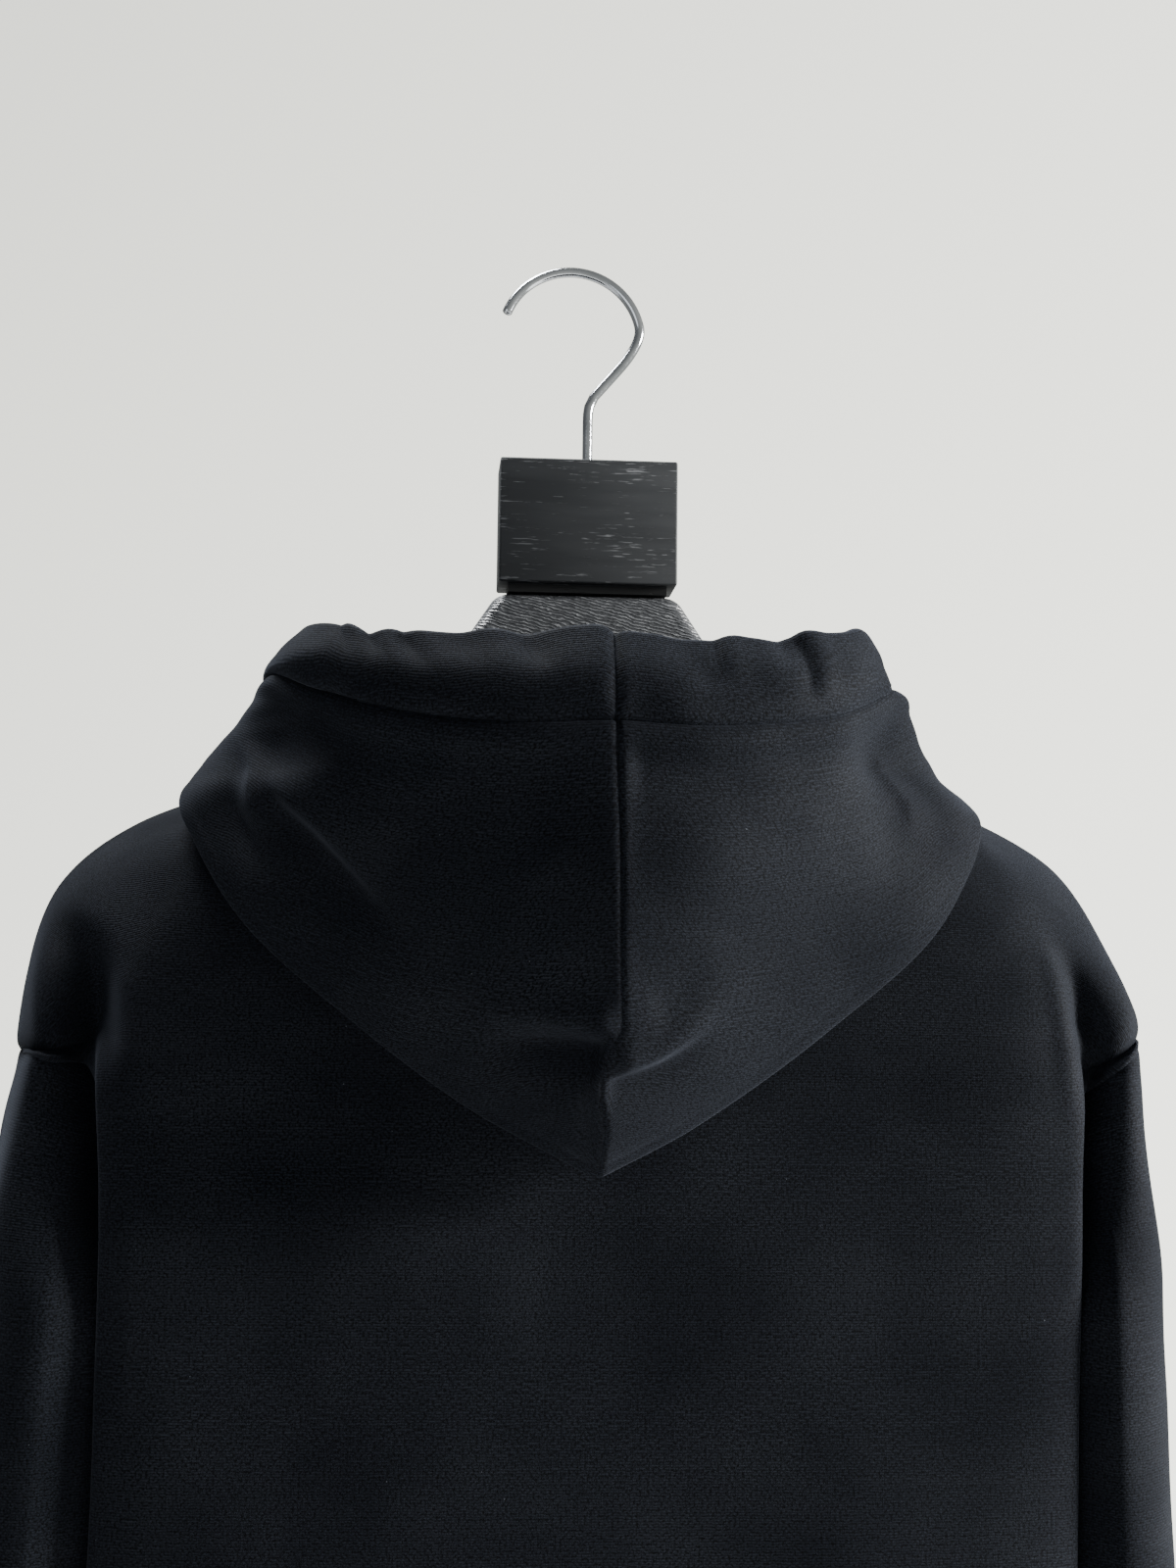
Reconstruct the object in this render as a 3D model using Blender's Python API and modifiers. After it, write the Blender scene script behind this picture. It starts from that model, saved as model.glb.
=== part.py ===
"""Hooded cotton sweatshirt hanging on a shaped hanger, seen in the photo from behind.

Metres, +Z up.  The origin is the point of the hook that rests on a rail.  The garment's back
faces -Y and the wearer's left side is at -X.  Every cloth piece is an open surface, worked out
from the tables below, with its thickness added by Solidify.
"""

import bmesh
import bpy
import numpy as np
from mathutils import Vector

MM = 0.001                      # the tables below are in millimetres

# --- Cloth -----------------------------------------------------------------------------------
FLEECE = 2.0 * MM               # thickness of the body, sleeve and hood cloth
SEAM_GAP = 0.3 * MM             # between two pieces at a seam
SEAM_STRIP = 1.6 * MM           # last strip of a panel, which runs straight into its seam
CORNER_GAP = 1.8 * MM           # a panel's corner stops this short where three seams meet
VALLEY_GAP = 2.2 * MM           # extra room either side of the armhole seam in its valley
VALLEY = (0.42, 0.07)           # level of that valley, and its reach either way
RIB_BASE = 2.2 * MM             # rib knit between two ribs
RIB_TOP = 3.2 * MM              # rib knit on top of a rib

# --- Body: one row of the table for each level, from the neckline down to the hem --------------
# Each level runs round from the centre through the side fold, the valley beside it and the
# shoulder lobe to the panel's edge.  x, y in mm for the right half of the back.
BODY_COLUMNS = ("level", "z_centre", "z_edge", "y_centre", "fold", "valley", "lobe", "edge")
BODY_LEVELS = (
    ("neckline",      -252, -218, -42, (62, -33), (77, -22), (87, -10), (92, 0)),
    ("mid_shoulder",  -262, -238, -46, (108, -38), (130, -28), (145, -13), (150, 0)),
    ("hanger_end",    -282, -264, -51, (158, -44), (182, -32), (197, -15), (203, 0)),
    ("shoulder_drop", -305, -290, -56, (182, -50), (206, -39), (227, -21), (235, 0)),
    ("lobe_top",      -335, -326, -60, (201, -56), (218, -46), (239, -37), (249.5, 0)),
    ("armhole_top",   -368, -363, -63.4, (210, -59), (220, -41), (241, -47), (257.5, 0)),
    ("armhole_back",  -377, -367, -64.2, (211, -60), (219, -39), (229, -41), (242, -49)),
    ("armhole_fold",  -394, -386, -65.6, (212, -60), (215, -48), (217, -38), (214, -29)),
    ("underarm",      -432, -424, -68, (212, -60), (204, -43), (188, -20), (170, 0)),
    ("waist",         -640, -640, -72, (209, -57), (199, -41), (180, -20), (160, 0)),
    ("hem_seam",      -866, -866, -66, (204, -52), (195, -38), (179, -19), (163, 0)),
)
# Where the front differs from the back: the neckline drops, and the chest is a little fuller.
FRONT_LEVELS = {
    "neckline": {"z_centre": -312, "y_centre": -50, "fold": (50, -40), "valley": (68, -26)},
    "mid_shoulder": {"z_centre": -322, "y_centre": -54},
    "hanger_end": {"z_centre": -334, "y_centre": -57},
    "shoulder_drop": {"z_centre": -346, "y_centre": -60},
    "lobe_top": {"z_centre": -360, "y_centre": -62},
    "armhole_top": {"z_centre": -378, "y_centre": -64},
    "armhole_back": {"z_centre": -386, "y_centre": -64.8},
    "armhole_fold": {"z_centre": -401, "y_centre": -66},
}
LINE_KNOTS = (0.0, 0.30, 0.62, 0.76, 0.88, 1.0)      # centre, mid, fold, valley, lobe, edge
BACK_RISE = (0.0, 0.12, 0.48, 0.72, 0.92, 1.0)       # share of z_centre to z_edge reached there
FRONT_RISE = (0.0, 0.22, 0.72, 0.89, 0.97, 1.0)      # the same for the front
MID_OF_FOLD = (0.56, 0.97)                           # the mid line's x and y from its neighbours
LEVEL_KNOTS = (0.0, 0.06, 0.13, 0.20, 0.27, 0.34, 0.38, 0.43, 0.50, 0.74, 1.0)
ARMHOLE_ROWS = (0.34, 0.353, 0.367, 0.382, 0.398, 0.415, 0.435, 0.457, 0.478, 0.50)
BODY_ROWS = (0.0, 0.03, 0.08, 0.13, 0.18, 0.23, 0.27, 0.31, *ARMHOLE_ROWS,
             0.56, 0.64, 0.74, 0.87, 0.985, 1.0)
BODY_ARCS = (0.0, 0.12, 0.24, 0.36, 0.47, 0.55, 0.61, 0.66, 0.71, 0.76, 0.82, 0.88, 0.94, 0.985, 1.0)
ARMHOLE = (ARMHOLE_ROWS[0], ARMHOLE_ROWS[-1])   # where the panel's edge is the armhole
ARMHOLE_TURN = 0.375            # share of the armhole's levels where its seam starts to turn out

# --- Sleeves: half sections from the outer side round the back to the inner side ---------------
SLEEVE_COLUMNS = ("z", "x_middle", "outer", "inner", "depth")
SLEEVE_SECTIONS = (
    (-395, 230, 30, 52, 62),
    (-450, 232, 31.5, 54, 65),
    (-585, 236, 32.5, 53, 63),
    (-720, 241, 32, 47, 58),
    (-815, 245, 30, 40, 51),
    (-848, 246, 24, 30, 40),
)
SLEEVE_ROWS = (0.0, 0.012, 0.06, 0.12, 0.19, 0.27, 0.36, 0.47, 0.60, 0.74, 0.87, 0.94, 0.98, 1.0)
OUTER_ROUND = 2.3               # exponent of the outer half's section: a full round
INNER_POINT = 1.15              # exponent of the inner half's: it tucks in beside the body
HANG_BLEND = 0.20               # share of the sleeve that changes from armhole to tube
HANG_OUT = 0.25                 # how far the sleeve would run on from the armhole at its end, m

# --- Rib bands -----------------------------------------------------------------------------------
HEM_BAND = {"top": -866, "bottom": -930, "ribs": 112, "draw_in": 0.94, "bulge": 1.01}
CUFF = {"top": -848, "bottom": -908, "ribs": 26, "draw_in": 0.93, "bulge": 1.03}

# --- Hood: one row for each station, from the back centre round to the throat -------------------
# (x, y, z) of the opening's edge, the casing's stitch line, the middle of the outer layer, the
# fold at the bottom and the layer under it, which goes up to the neck seam.
HOOD_COLUMNS = ("station", "opening", "groove", "outer", "fold", "under")
HOOD_STATIONS = (
    ("back_centre", (0, -125, -192), (0, -140, -232), (0, -136, -318), (0, -83, -416),
     (0, -71, -325)),
    ("back", (45, -126, -195), (43, -141, -233), (47, -128, -306), (50, -80, -389),
     (44, -69, -315)),
    ("back_outer", (84, -120, -194), (87, -131, -227), (94, -111, -284), (100, -76, -353),
     (78, -61, -294)),
    ("corner", (112, -103, -187), (118, -106, -216), (131, -88, -258), (149, -69, -310),
     (108, -50, -266)),
    ("side", (124, -76, -188), (134, -76, -205), (152, -60, -225), (178, -43, -261),
     (128, -33, -240)),
    ("over_shoulder", (124, -38, -197), (140, -32, -212), (160, -20, -227), (180, -2, -242),
     (132, 0, -226)),
    ("chest_outer", (112, 6, -214), (130, 12, -226), (148, 24, -238), (162, 44, -268),
     (122, 33, -241)),
    ("chest", (86, 50, -250), (104, 58, -261), (116, 67, -277), (118, 74, -312),
     (92, 58, -276)),
    ("throat", (50, 78, -285), (66, 81, -297), (74, 81, -312), (70, 78, -334),
     (62, 67, -305)),
    ("front_end", (6, 73, -318), (30, 77, -318), (41, 79, -325), (44, 76, -338),
     (41, 66, -322)),
)
NECK_LINES = (("above_neck", 9.0, 4.4), ("neck", 2.0, 2.7))   # mm below the neckline, mm above
NECK_LEVEL = 0.06               # level that the neckline's own fall is measured down to
NECK_ARCS = (0.0, 0.53, 1.12)   # hood arcs at the neck's back centre, shoulders and front centre
LINE_CLEAR = {"opening": 11.0, "groove": 12.0, "outer": 12.0, "fold": 5.5, "under": 4.5}
HOOD_CLEAR = 3.6 * MM           # least distance of the hood's cloth above the panels, middles
RIDGE_CLEAR = 2.4 * MM          # added on top of the shoulder seam
RIDGE_WIDTH = 16.0 * MM         # reach of that either side of the seam
NOSE_RADIUS = 7.0               # roundness of the fold at the hood's bottom, mm
NOSE_LENGTH = 1.3               # how much longer than wide that round is
NOSE_REACH = 5.0                # the round shrinks where the outer layer is under so many radii
HOOD_ARCS = (0.0, 0.012, 0.06, 0.11, 0.16, 0.21, 0.26, 0.30, 0.335, 0.37, 0.41, 0.45, 0.50, 0.555,
             0.61, 0.665, 0.72, 0.775, 0.83, 0.88, 0.93, 0.97, 1.0)   # back centre to throat
HOOD_ROWS = (0, 0.04, 0.25, 0.5, 0.75, 1, 1.35, 1.7, 2, 2.5, 3, 3.5, 4, 4.4, 5, 5.5, 6, 7)
CASING_ROWS = (0.0, 0.10, 0.35, 0.65, 0.90, 1.0)
CASING_FULLNESS = (0.42, 0.75, 1.0, 1.0, 0.75, 0.34)  # thickness of the casing at those rows
CASING = 6.0 * MM               # turned-in casing at its fullest
GATHERS = 9                     # soft gathers on each half of the casing
GATHER_LIFT = 1.6               # how far a gather lifts the opening's edge, mm
GATHER_START = 1 / 12           # share of the half from the centre seam where gathers begin
CASING_BOW = 1.5                # how far the casing bows out between its edges, mm

# --- Hanger ------------------------------------------------------------------------------------
BLOCK = {"width": 82.5, "thick": 30.0, "top": -91.0, "bottom": -149.5, "edge": 1.2}
BLOCK_FOOT = 4.5                # how far the foot that meets the body is set in, mm
BODY_TOP = -153.8               # z of the hanger body's flat top
BODY_TOP_HALF = 38.5            # half its width
NECK_SIDE = ((74.0, -203.0), (84.0, -220.0), (97.0, -226.5))  # x, z down the body's side
ARM_THICK = 22.0
ARM_EDGE = 7.5                  # rounding of the arms
ARM_ROWS = (0.03, 0.055, 0.08, 0.105, 0.13)         # levels of the shoulder line its top follows
ARM_CLEAR = 2.6                 # under the middle of the shoulder cloth
ARM_INSET = 0.6                 # how far in from the shoulder line its points are, mm
ARM_TIP = 0.62                  # share of the thickness left at the tips
ARM_THINS = (90.0, 200.0)       # x from which to which the arms get thinner
ARM_END = ((4, -6), (3, -16), (-6, -22), (-22, -18), (-60, -8))   # x, z from the last row's point
ARM_UNDER = ((60.0, -240.0), (0.0, -232.0))         # x, z of the arms' underside at the middle
SHARP_ANGLE = np.radians(50)    # edges sharper than this are rounded
WIRE = 4.7 * MM
HOOK_CENTRE = (-8.1, -29.6)     # x, z of the hook's round, mm
HOOK_RADIUS = 33.0
HOOK_BEND = (20.8, -36.0)       # x, z where the slanted shank meets the round
STEM_BEND = -60.5               # z where the stem leans out
HOOK_TIP_ANGLE = 158.0          # degrees round from +X where the round ends
HOOK_START = 12.0               # degrees from the bend to the round's first point
HOOK_STEPS = 26                 # points on the round
STEM_TURN = ((0.0, -6.0), (0.3, -3.0))      # x, and z from the stem's bend, of the soft corner
SHANK_SHARES = (0.12, 0.5, 0.88)            # where the slanted shank's points lie along it

COLOURS = {
    "fleece": ((0.014, 0.016, 0.022), 0.92, 0.0),
    "rib": ((0.013, 0.015, 0.020), 0.94, 0.0),
    "grained_wood": ((0.020, 0.022, 0.026), 0.55, 0.0),
    "glossy_body": ((0.016, 0.016, 0.018), 0.30, 0.0),
    "chrome": ((0.62, 0.64, 0.67), 0.16, 1.0),
}


# --- Curves and surfaces -------------------------------------------------------------------------

def through(points, knots, at):
    """Smooth curve through the points at their knots, read at each value of `at`."""
    points, knots = np.asarray(points, float), np.asarray(knots, float)
    at = np.asarray(at, float)
    slopes = np.gradient(points, knots, axis=0)
    low = np.clip(np.searchsorted(knots, at, side="right") - 1, 0, len(knots) - 2)
    span = knots[low + 1] - knots[low]
    part = (at - knots[low]) / span
    shape = part.shape + (1,) * (points.ndim - 1)
    part, span = part.reshape(shape), span.reshape(shape)
    return ((1 + 2 * part) * (1 - part) ** 2 * points[low]
            + part * (1 - part) ** 2 * span * slopes[low]
            + part ** 2 * (3 - 2 * part) * points[low + 1]
            + part ** 2 * (part - 1) * span * slopes[low + 1])


def smoothstep(value):
    """0 below 0, 1 above 1, and a smooth rise between."""
    value = np.clip(value, 0.0, 1.0)
    return value * value * (3 - 2 * value)


def unit(vectors):
    """The vectors at length 1."""
    return vectors / np.linalg.norm(vectors, axis=-1, keepdims=True)


def run_into_seam(points, seam, across):
    """Turn a sheet's last row so that it runs straight into its seam and stops short of it."""
    points[-1] = seam - across * SEAM_GAP / 2
    points[-2] = seam - across * SEAM_STRIP


# --- Body panels ---------------------------------------------------------------------------------

def body_lines(front=False):
    """Points of the six lines of the right half, at each level: [level, line, xyz] in metres."""
    rows = []
    for level in BODY_LEVELS:
        row = dict(zip(BODY_COLUMNS, level))
        if front:
            row.update(FRONT_LEVELS.get(row["level"], {}))
        fold = row["fold"]
        mid = (fold[0] * MID_OF_FOLD[0],
               fold[1] + (row["y_centre"] - fold[1]) * MID_OF_FOLD[1])
        plan = [(0.0, row["y_centre"]), mid, fold, row["valley"], row["lobe"], row["edge"]]
        rise = row["z_edge"] - row["z_centre"]
        rows.append([(x, -y if front else y, row["z_centre"] + rise * share)
                     for (x, y), share in zip(plan, FRONT_RISE if front else BACK_RISE)])
    return np.array(rows) * MM


def armhole():
    """Seam line of the right armhole's back half, from the top to the underarm, and across it."""
    levels = np.array(ARMHOLE_ROWS)
    seam = through(body_lines()[:, -1], LEVEL_KNOTS, levels)
    seam[[0, -1], 1] = 0.0
    return seam, armhole_across(levels)


def armhole_across(levels):
    """Direction across the armhole seam: down on the shoulder, outwards under the arm."""
    share = (levels - ARMHOLE[0]) / (ARMHOLE[1] - ARMHOLE[0])
    turn = smoothstep((share - ARMHOLE_TURN) / (1 - ARMHOLE_TURN)) * np.pi / 2
    return np.stack([np.sin(turn), 0 * turn, -np.cos(turn)], axis=-1)


def valley_gap(levels):
    """Extra room at the seam in the sharp valley between the body and the sleeve."""
    return VALLEY_GAP * smoothstep(1 - abs(levels - VALLEY[0]) / VALLEY[1])


def edge_across(levels, front):
    """Direction out of the panel at its edge: to the other panel, or to the sleeve."""
    forward = np.array([0.0, -1.0 if front else 1.0, 0.0])
    in_armhole = ((levels > ARMHOLE[0]) & (levels < ARMHOLE[1]))[:, None]
    across = np.where(in_armhole, armhole_across(levels), forward)
    for corner, down in ((ARMHOLE[0], (0.0, 0.0, -1.0)), (ARMHOLE[1], (1.0, 0.0, 0.0))):
        across[np.isclose(levels, corner)] = unit(forward + np.array(down))
    return across


def half_panel(front=False):
    """Right half of the back or the front: [row, column, xyz]."""
    rows, arcs = np.array(BODY_ROWS), np.array(BODY_ARCS)
    lines = through(body_lines(front), LEVEL_KNOTS, rows)
    lines[(rows <= ARMHOLE[0]) | (rows >= ARMHOLE[1]), -1, 1] = 0.0
    points = through(lines.transpose(1, 0, 2), LINE_KNOTS, arcs)      # [column, row, xyz]
    across = edge_across(rows, front)
    run_into_seam(points, lines[:, -1], across)
    tuck = valley_gap(rows)[:, None]
    points[-1] -= across * tuck
    points[-2] -= across * tuck
    corners = np.isin(rows, ARMHOLE)
    points[-1, corners] -= across[corners] * CORNER_GAP
    points = points.transpose(1, 0, 2)
    hem = points[-1] * [1, 1, 0] + [0, 0, HEM_BAND["top"] * MM]
    run_into_seam(points, hem, np.array([0.0, 0.0, -1.0]))
    return points


# --- Sleeves ---------------------------------------------------------------------------------------

def sleeve_outline(z, turn):
    """x and y of the right sleeve at height z, `turn` radians round from its outer side."""
    table = np.array(SLEEVE_SECTIONS, float)[::-1] * MM
    middle, outer, inner, depth = np.moveaxis(through(table[:, 1:], table[:, 0], z), -1, 0)
    cosine, sine = np.cos(turn), np.sin(turn)
    power = 2 / np.where(cosine > 0, OUTER_ROUND, INNER_POINT)
    reach = np.where(cosine > 0, outer, inner)
    x = middle + np.sign(cosine) * reach * np.abs(cosine) ** power
    y = -depth * np.sign(sine) * np.abs(sine) ** power
    return x, y


def sleeve_tube():
    """Right sleeve from the armhole to the cuff seam: [row, column, xyz], closed round."""
    seam, across = armhole()
    mirror = np.array([1, -1, 1])
    seam = np.concatenate([seam, (seam * mirror)[-2::-1]])
    across = np.concatenate([across, (across * mirror)[-2::-1]])
    turn = np.linspace(0, 2 * np.pi, len(seam))
    rows = np.array(SLEEVE_ROWS)[:, None]
    end = CUFF["top"] * MM
    z = seam[:, 2] + (end - seam[:, 2]) * rows
    x, y = sleeve_outline(z, turn[None] + 0 * rows)
    hang = smoothstep(rows / HANG_BLEND)
    start = seam[None] + across * (rows[..., None] * HANG_OUT)
    points = np.stack([start[..., 0] * (1 - hang) + x * hang,
                       start[..., 1] * (1 - hang) + y * hang, z], axis=-1)
    run_into_seam(points[::-1], seam, -across)
    levels = np.array(ARMHOLE_ROWS)
    tuck = valley_gap(np.concatenate([levels, levels[-2::-1]]))[:, None]
    points[:2] += across * tuck
    cuff_line = points[-1] * [1, 1, 0] + [0, 0, end]
    run_into_seam(points, cuff_line, np.array([0.0, 0.0, -1.0]))
    return points


# --- Rib bands -------------------------------------------------------------------------------------

def even_ring(outline, count):
    """The closed outline with `count` points at equal steps along it."""
    steps = np.linalg.norm(np.diff(outline, axis=0), axis=1)
    travelled = np.concatenate([[0], np.cumsum(steps)])
    even = np.linspace(0, travelled[-1], count, endpoint=False)
    return np.stack([np.interp(even, travelled, outline[:, axis]) for axis in range(2)], axis=-1)


def rib_band(outline, band):
    """Plain inner surface of a rib band below the closed outline: [row, column, xyz]."""
    ring = even_ring(outline, 2 * band["ribs"])
    ring = np.concatenate([ring, ring[:1]])
    middle = (ring.min(axis=0) + ring.max(axis=0)) / 2
    rows = []
    for scale, share in ((1.0, 0.0), (band["bulge"], 0.45), (band["draw_in"], 1.0)):
        z = band["top"] + (band["bottom"] - band["top"]) * share
        flat = middle + (ring - middle) * scale
        rows.append(np.column_stack([flat, np.full(len(flat), z * MM)]))
    rows[0][:, 2] -= SEAM_GAP
    return np.array(rows)


# --- Hood ------------------------------------------------------------------------------------------

def hood_lines(arcs):
    """The hood's lines at each arc from the back centre (0) to the throat (1), in metres."""
    stations = [dict(zip(HOOD_COLUMNS, station)) for station in HOOD_STATIONS]
    knots = np.linspace(0, 1, len(stations))
    lines = {name: through([station[name] for station in stations], knots, arcs) * MM
             for name in HOOD_COLUMNS[1:]}
    for name, clear in LINE_CLEAR.items():
        lines[name] = hold_clear(lines[name], clear * MM)
    for name, below, clear in NECK_LINES:
        lines[name] = above_the_panels(arcs, below * MM, clear * MM)
    return lines


def above_the_panels(arcs, below, clear):
    """Line round the neck, so far below the neckline and so far above the panels' outer faces."""
    moved = []
    for turn in np.interp(arcs, NECK_ARCS, (0.0, 1.0, 2.0)):
        front = turn > 1.0
        arc = 2 - turn if front else turn
        top, lower = surface_point(front, arc, 0.0), surface_point(front, arc, NECK_LEVEL)
        level = NECK_LEVEL * below / np.linalg.norm(lower - top)
        place = surface_point(front, arc, level)
        aside = surface_point(front, arc - 0.01, level)
        out = unit(np.cross(place - aside, lower - place))
        ridge = smoothstep(1 - abs(place[1]) / RIDGE_WIDTH) * RIDGE_CLEAR
        moved.append(place + (out if front else -out) * (clear + ridge))
    return np.array(moved)


def surface_point(front, arc, level):
    """One point of the right half of a panel, at an arc from its centre and a level."""
    lines = through(body_lines(front), LEVEL_KNOTS, np.array([level]))[0]
    return through(lines, LINE_KNOTS, np.array([arc]))[0]


def hood_section(lines):
    """Outer layer, fold and under layer of the hood, as lines from the stitch line to the neck."""
    radius = NOSE_RADIUS * MM
    rise_out, rise_under = lines["outer"] - lines["fold"], lines["under"] - lines["fold"]
    out = unit(unit(rise_out) - unit(rise_under))
    up = unit(unit(rise_out) + unit(rise_under))
    height = np.linalg.norm(rise_out, axis=-1, keepdims=True)
    shrink = smoothstep(height / (NOSE_REACH * radius))
    nose_out = lines["fold"] + (NOSE_LENGTH * up + out) * radius * shrink
    nose_under = lines["fold"] + (NOSE_LENGTH * up - out) * radius * shrink
    ordered = [lines["groove"], lines["outer"], nose_out, lines["fold"], nose_under,
               lines["under"], lines["above_neck"], lines["neck"]]
    return np.array(ordered)


def down_the_lines(lines, rows):
    """Rows of a surface laid over the lines [line, column, xyz]; row 1.5 is midway from 1 to 2."""
    columns = []
    for column in lines.transpose(1, 0, 2):
        steps = np.linalg.norm(np.diff(column, axis=0), axis=1)
        knots = np.concatenate([[0], np.cumsum(steps)])
        columns.append(through(column, knots, np.interp(rows, range(len(knots)), knots)))
    return np.stack(columns, axis=1)


def panel_field():
    """Close samples of the outer faces of both right panels, and the way out at each of them."""
    arcs = np.linspace(0, 1, 61)
    levels = np.linspace(0, 0.45, 61)
    places, outs = [], []
    for front in (False, True):
        lines = through(body_lines(front), LEVEL_KNOTS, levels)
        points = through(lines.transpose(1, 0, 2), LINE_KNOTS, arcs)
        out = unit(np.cross(np.gradient(points, axis=0), np.gradient(points, axis=1)))
        places.append(points.reshape(-1, 3))
        outs.append((out if front else -out).reshape(-1, 3))
    return np.concatenate(places), np.concatenate(outs)


def hold_clear(points, clear):
    """Move the points that are nearer to the panels than `clear` straight out to that distance."""
    places, outs = panel_field()
    flat = points.reshape(-1, 3).copy()
    for index, point in enumerate(flat):
        nearest = np.argmin(np.sum((places - point) ** 2, axis=1))
        height = np.dot(point - places[nearest], outs[nearest])
        ridge = smoothstep(1 - abs(places[nearest, 1]) / RIDGE_WIDTH) * RIDGE_CLEAR
        flat[index] = point + outs[nearest] * max(clear + ridge - height, 0.0)
    return flat.reshape(points.shape)


def hood_panel():
    """Right hood panel below the casing: [row, column, xyz]."""
    arcs = np.array(HOOD_ARCS)
    points = down_the_lines(hood_section(hood_lines(arcs)), HOOD_ROWS)
    points[:-1] = hold_clear(points[:-1], HOOD_CLEAR)
    start_casing_seam(points, arcs)
    meet_at_centre(points)
    return points


def casing_across(arcs):
    """Direction from the casing down into the hood panel, along the stitch line."""
    lines = hood_lines(arcs)
    return unit(unit(lines["groove"] - lines["opening"]) + unit(lines["outer"] - lines["groove"]))


def start_casing_seam(points, arcs):
    """Run the first rows of the hood panel straight out of the stitch line."""
    run_into_seam(points[::-1], hood_lines(arcs)["groove"], -casing_across(arcs))


def meet_at_centre(points):
    """Run the first columns straight into the centre seam, on the plane x = 0."""
    columns = points.transpose(1, 0, 2)
    seam = columns[0] * [0, 1, 1]
    run_into_seam(columns[::-1], seam, np.array([-1.0, 0.0, 0.0]))


def hood_casing():
    """Right half of the gathered casing, from the opening's edge to the stitch line."""
    arcs = np.array(HOOD_ARCS)
    lines = hood_lines(arcs)
    gather = np.sin(arcs * GATHERS * 2 * np.pi) ** 2 * smoothstep(arcs / GATHER_START)
    opening = lines["opening"] + gather[:, None] * [0, 0, GATHER_LIFT * MM]
    across = casing_across(arcs)
    bow = unit(np.cross(np.gradient(lines["groove"], axis=0), across)) * CASING_BOW * MM
    middle = (opening + lines["groove"]) / 2 - bow
    ordered = np.array([opening, middle, lines["groove"]])
    points = through(ordered, (0.0, 0.5, 1.0), CASING_ROWS)
    run_into_seam(points, lines["groove"], across)
    meet_at_centre(points)
    return points


# --- Blender objects -------------------------------------------------------------------------------

def remove_everything():
    """Empty the scene of objects."""
    for thing in list(bpy.data.objects):
        bpy.data.objects.remove(thing, do_unlink=True)


def finish(name):
    """Principled material with the piece's colour, roughness and metallic value."""
    material = bpy.data.materials.get(name)
    if material is None:
        colour, roughness, metallic = COLOURS[name]
        material = bpy.data.materials.new(name)
        material.use_nodes = True
        shader = material.node_tree.nodes["Principled BSDF"]
        shader.inputs["Base Color"].default_value = (*colour, 1.0)
        shader.inputs["Roughness"].default_value = roughness
        shader.inputs["Metallic"].default_value = metallic
    return material


def add_object(name, data, material, collection):
    """Object in the garment's collection, with one material and smooth shading."""
    thing = bpy.data.objects.new(name, data)
    data.materials.append(finish(material))
    if isinstance(data, bpy.types.Mesh):
        data.shade_smooth()
    collection.objects.link(thing)
    return thing


def sheet_mesh(name, points, closed=False, fullness=None):
    """Mesh of a grid laid out on the points [row, column, xyz]; closed joins its two ends.

    fullness holds each point's share of the wall's thickness, as weights of vertex group 0.
    """
    rows, columns = points.shape[0] - 1, points.shape[1] - 1
    sheet = bmesh.new()
    bmesh.ops.create_grid(sheet, x_segments=columns, y_segments=rows, size=0.5)
    weights = sheet.verts.layers.deform.verify()
    for vertex in sheet.verts:
        column = round((vertex.co.x + 0.5) * columns)
        row = round((vertex.co.y + 0.5) * rows)
        vertex.co = Vector(points[row, column])
        if fullness is not None:
            vertex[weights][0] = fullness[row, column]
    if closed:
        bmesh.ops.remove_doubles(sheet, verts=sheet.verts, dist=1e-6)
    mesh = bpy.data.meshes.new(name)
    sheet.to_mesh(mesh)
    sheet.free()
    return mesh


def thicken(thing, thickness, offset=0.0):
    """Give a sheet its wall."""
    wall = thing.modifiers.new("wall", "SOLIDIFY")
    wall.thickness = thickness
    wall.offset = offset
    wall.use_even_offset = False
    return wall


def cloth(name, points, collection, closed=False, both_halves=False):
    """A fleece piece; both_halves mirrors a half that is open at the centre plane."""
    thing = add_object(name, sheet_mesh(name, points, closed), "fleece", collection)
    if both_halves:
        mirror = thing.modifiers.new("other_half", "MIRROR")
        mirror.merge_threshold = 0.0001
    thicken(thing, FLEECE)
    return thing


def uneven_wall(name, points, fullness, wall, closed=False):
    """A piece whose wall is `wall` thick times its fullness at each point."""
    thickness, offset, material, collection = wall
    mesh = sheet_mesh(name, points, closed, fullness)
    thing = add_object(name, mesh, material, collection)
    group = thing.vertex_groups.new(name="fullness")
    thicken(thing, thickness, offset).vertex_group = group.name


def rib_knit(name, points, collection):
    """A rib band: its outer points rise on each rib, over a plain inside."""
    on_rib = np.arange(points.shape[1] - 1) % 2
    share = np.where(on_rib, 1.0, RIB_BASE / RIB_TOP)
    fullness = np.broadcast_to(np.append(share, share[0]), points.shape[:2])
    uneven_wall(name, points, fullness, (RIB_TOP, 1.0, "rib", collection), closed=True)


def casing_piece(name, points, collection):
    """The hood's casing: thin at its two edges and full between them."""
    fullness = np.repeat(np.array(CASING_FULLNESS)[:, None], points.shape[1], axis=1)
    uneven_wall(name, points, fullness, (CASING, 0.0, "fleece", collection))


def to_left(points):
    """The same piece on the wearer's left side, its columns turned so that it faces out."""
    return (points * [-1, 1, 1])[:, ::-1]


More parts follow.
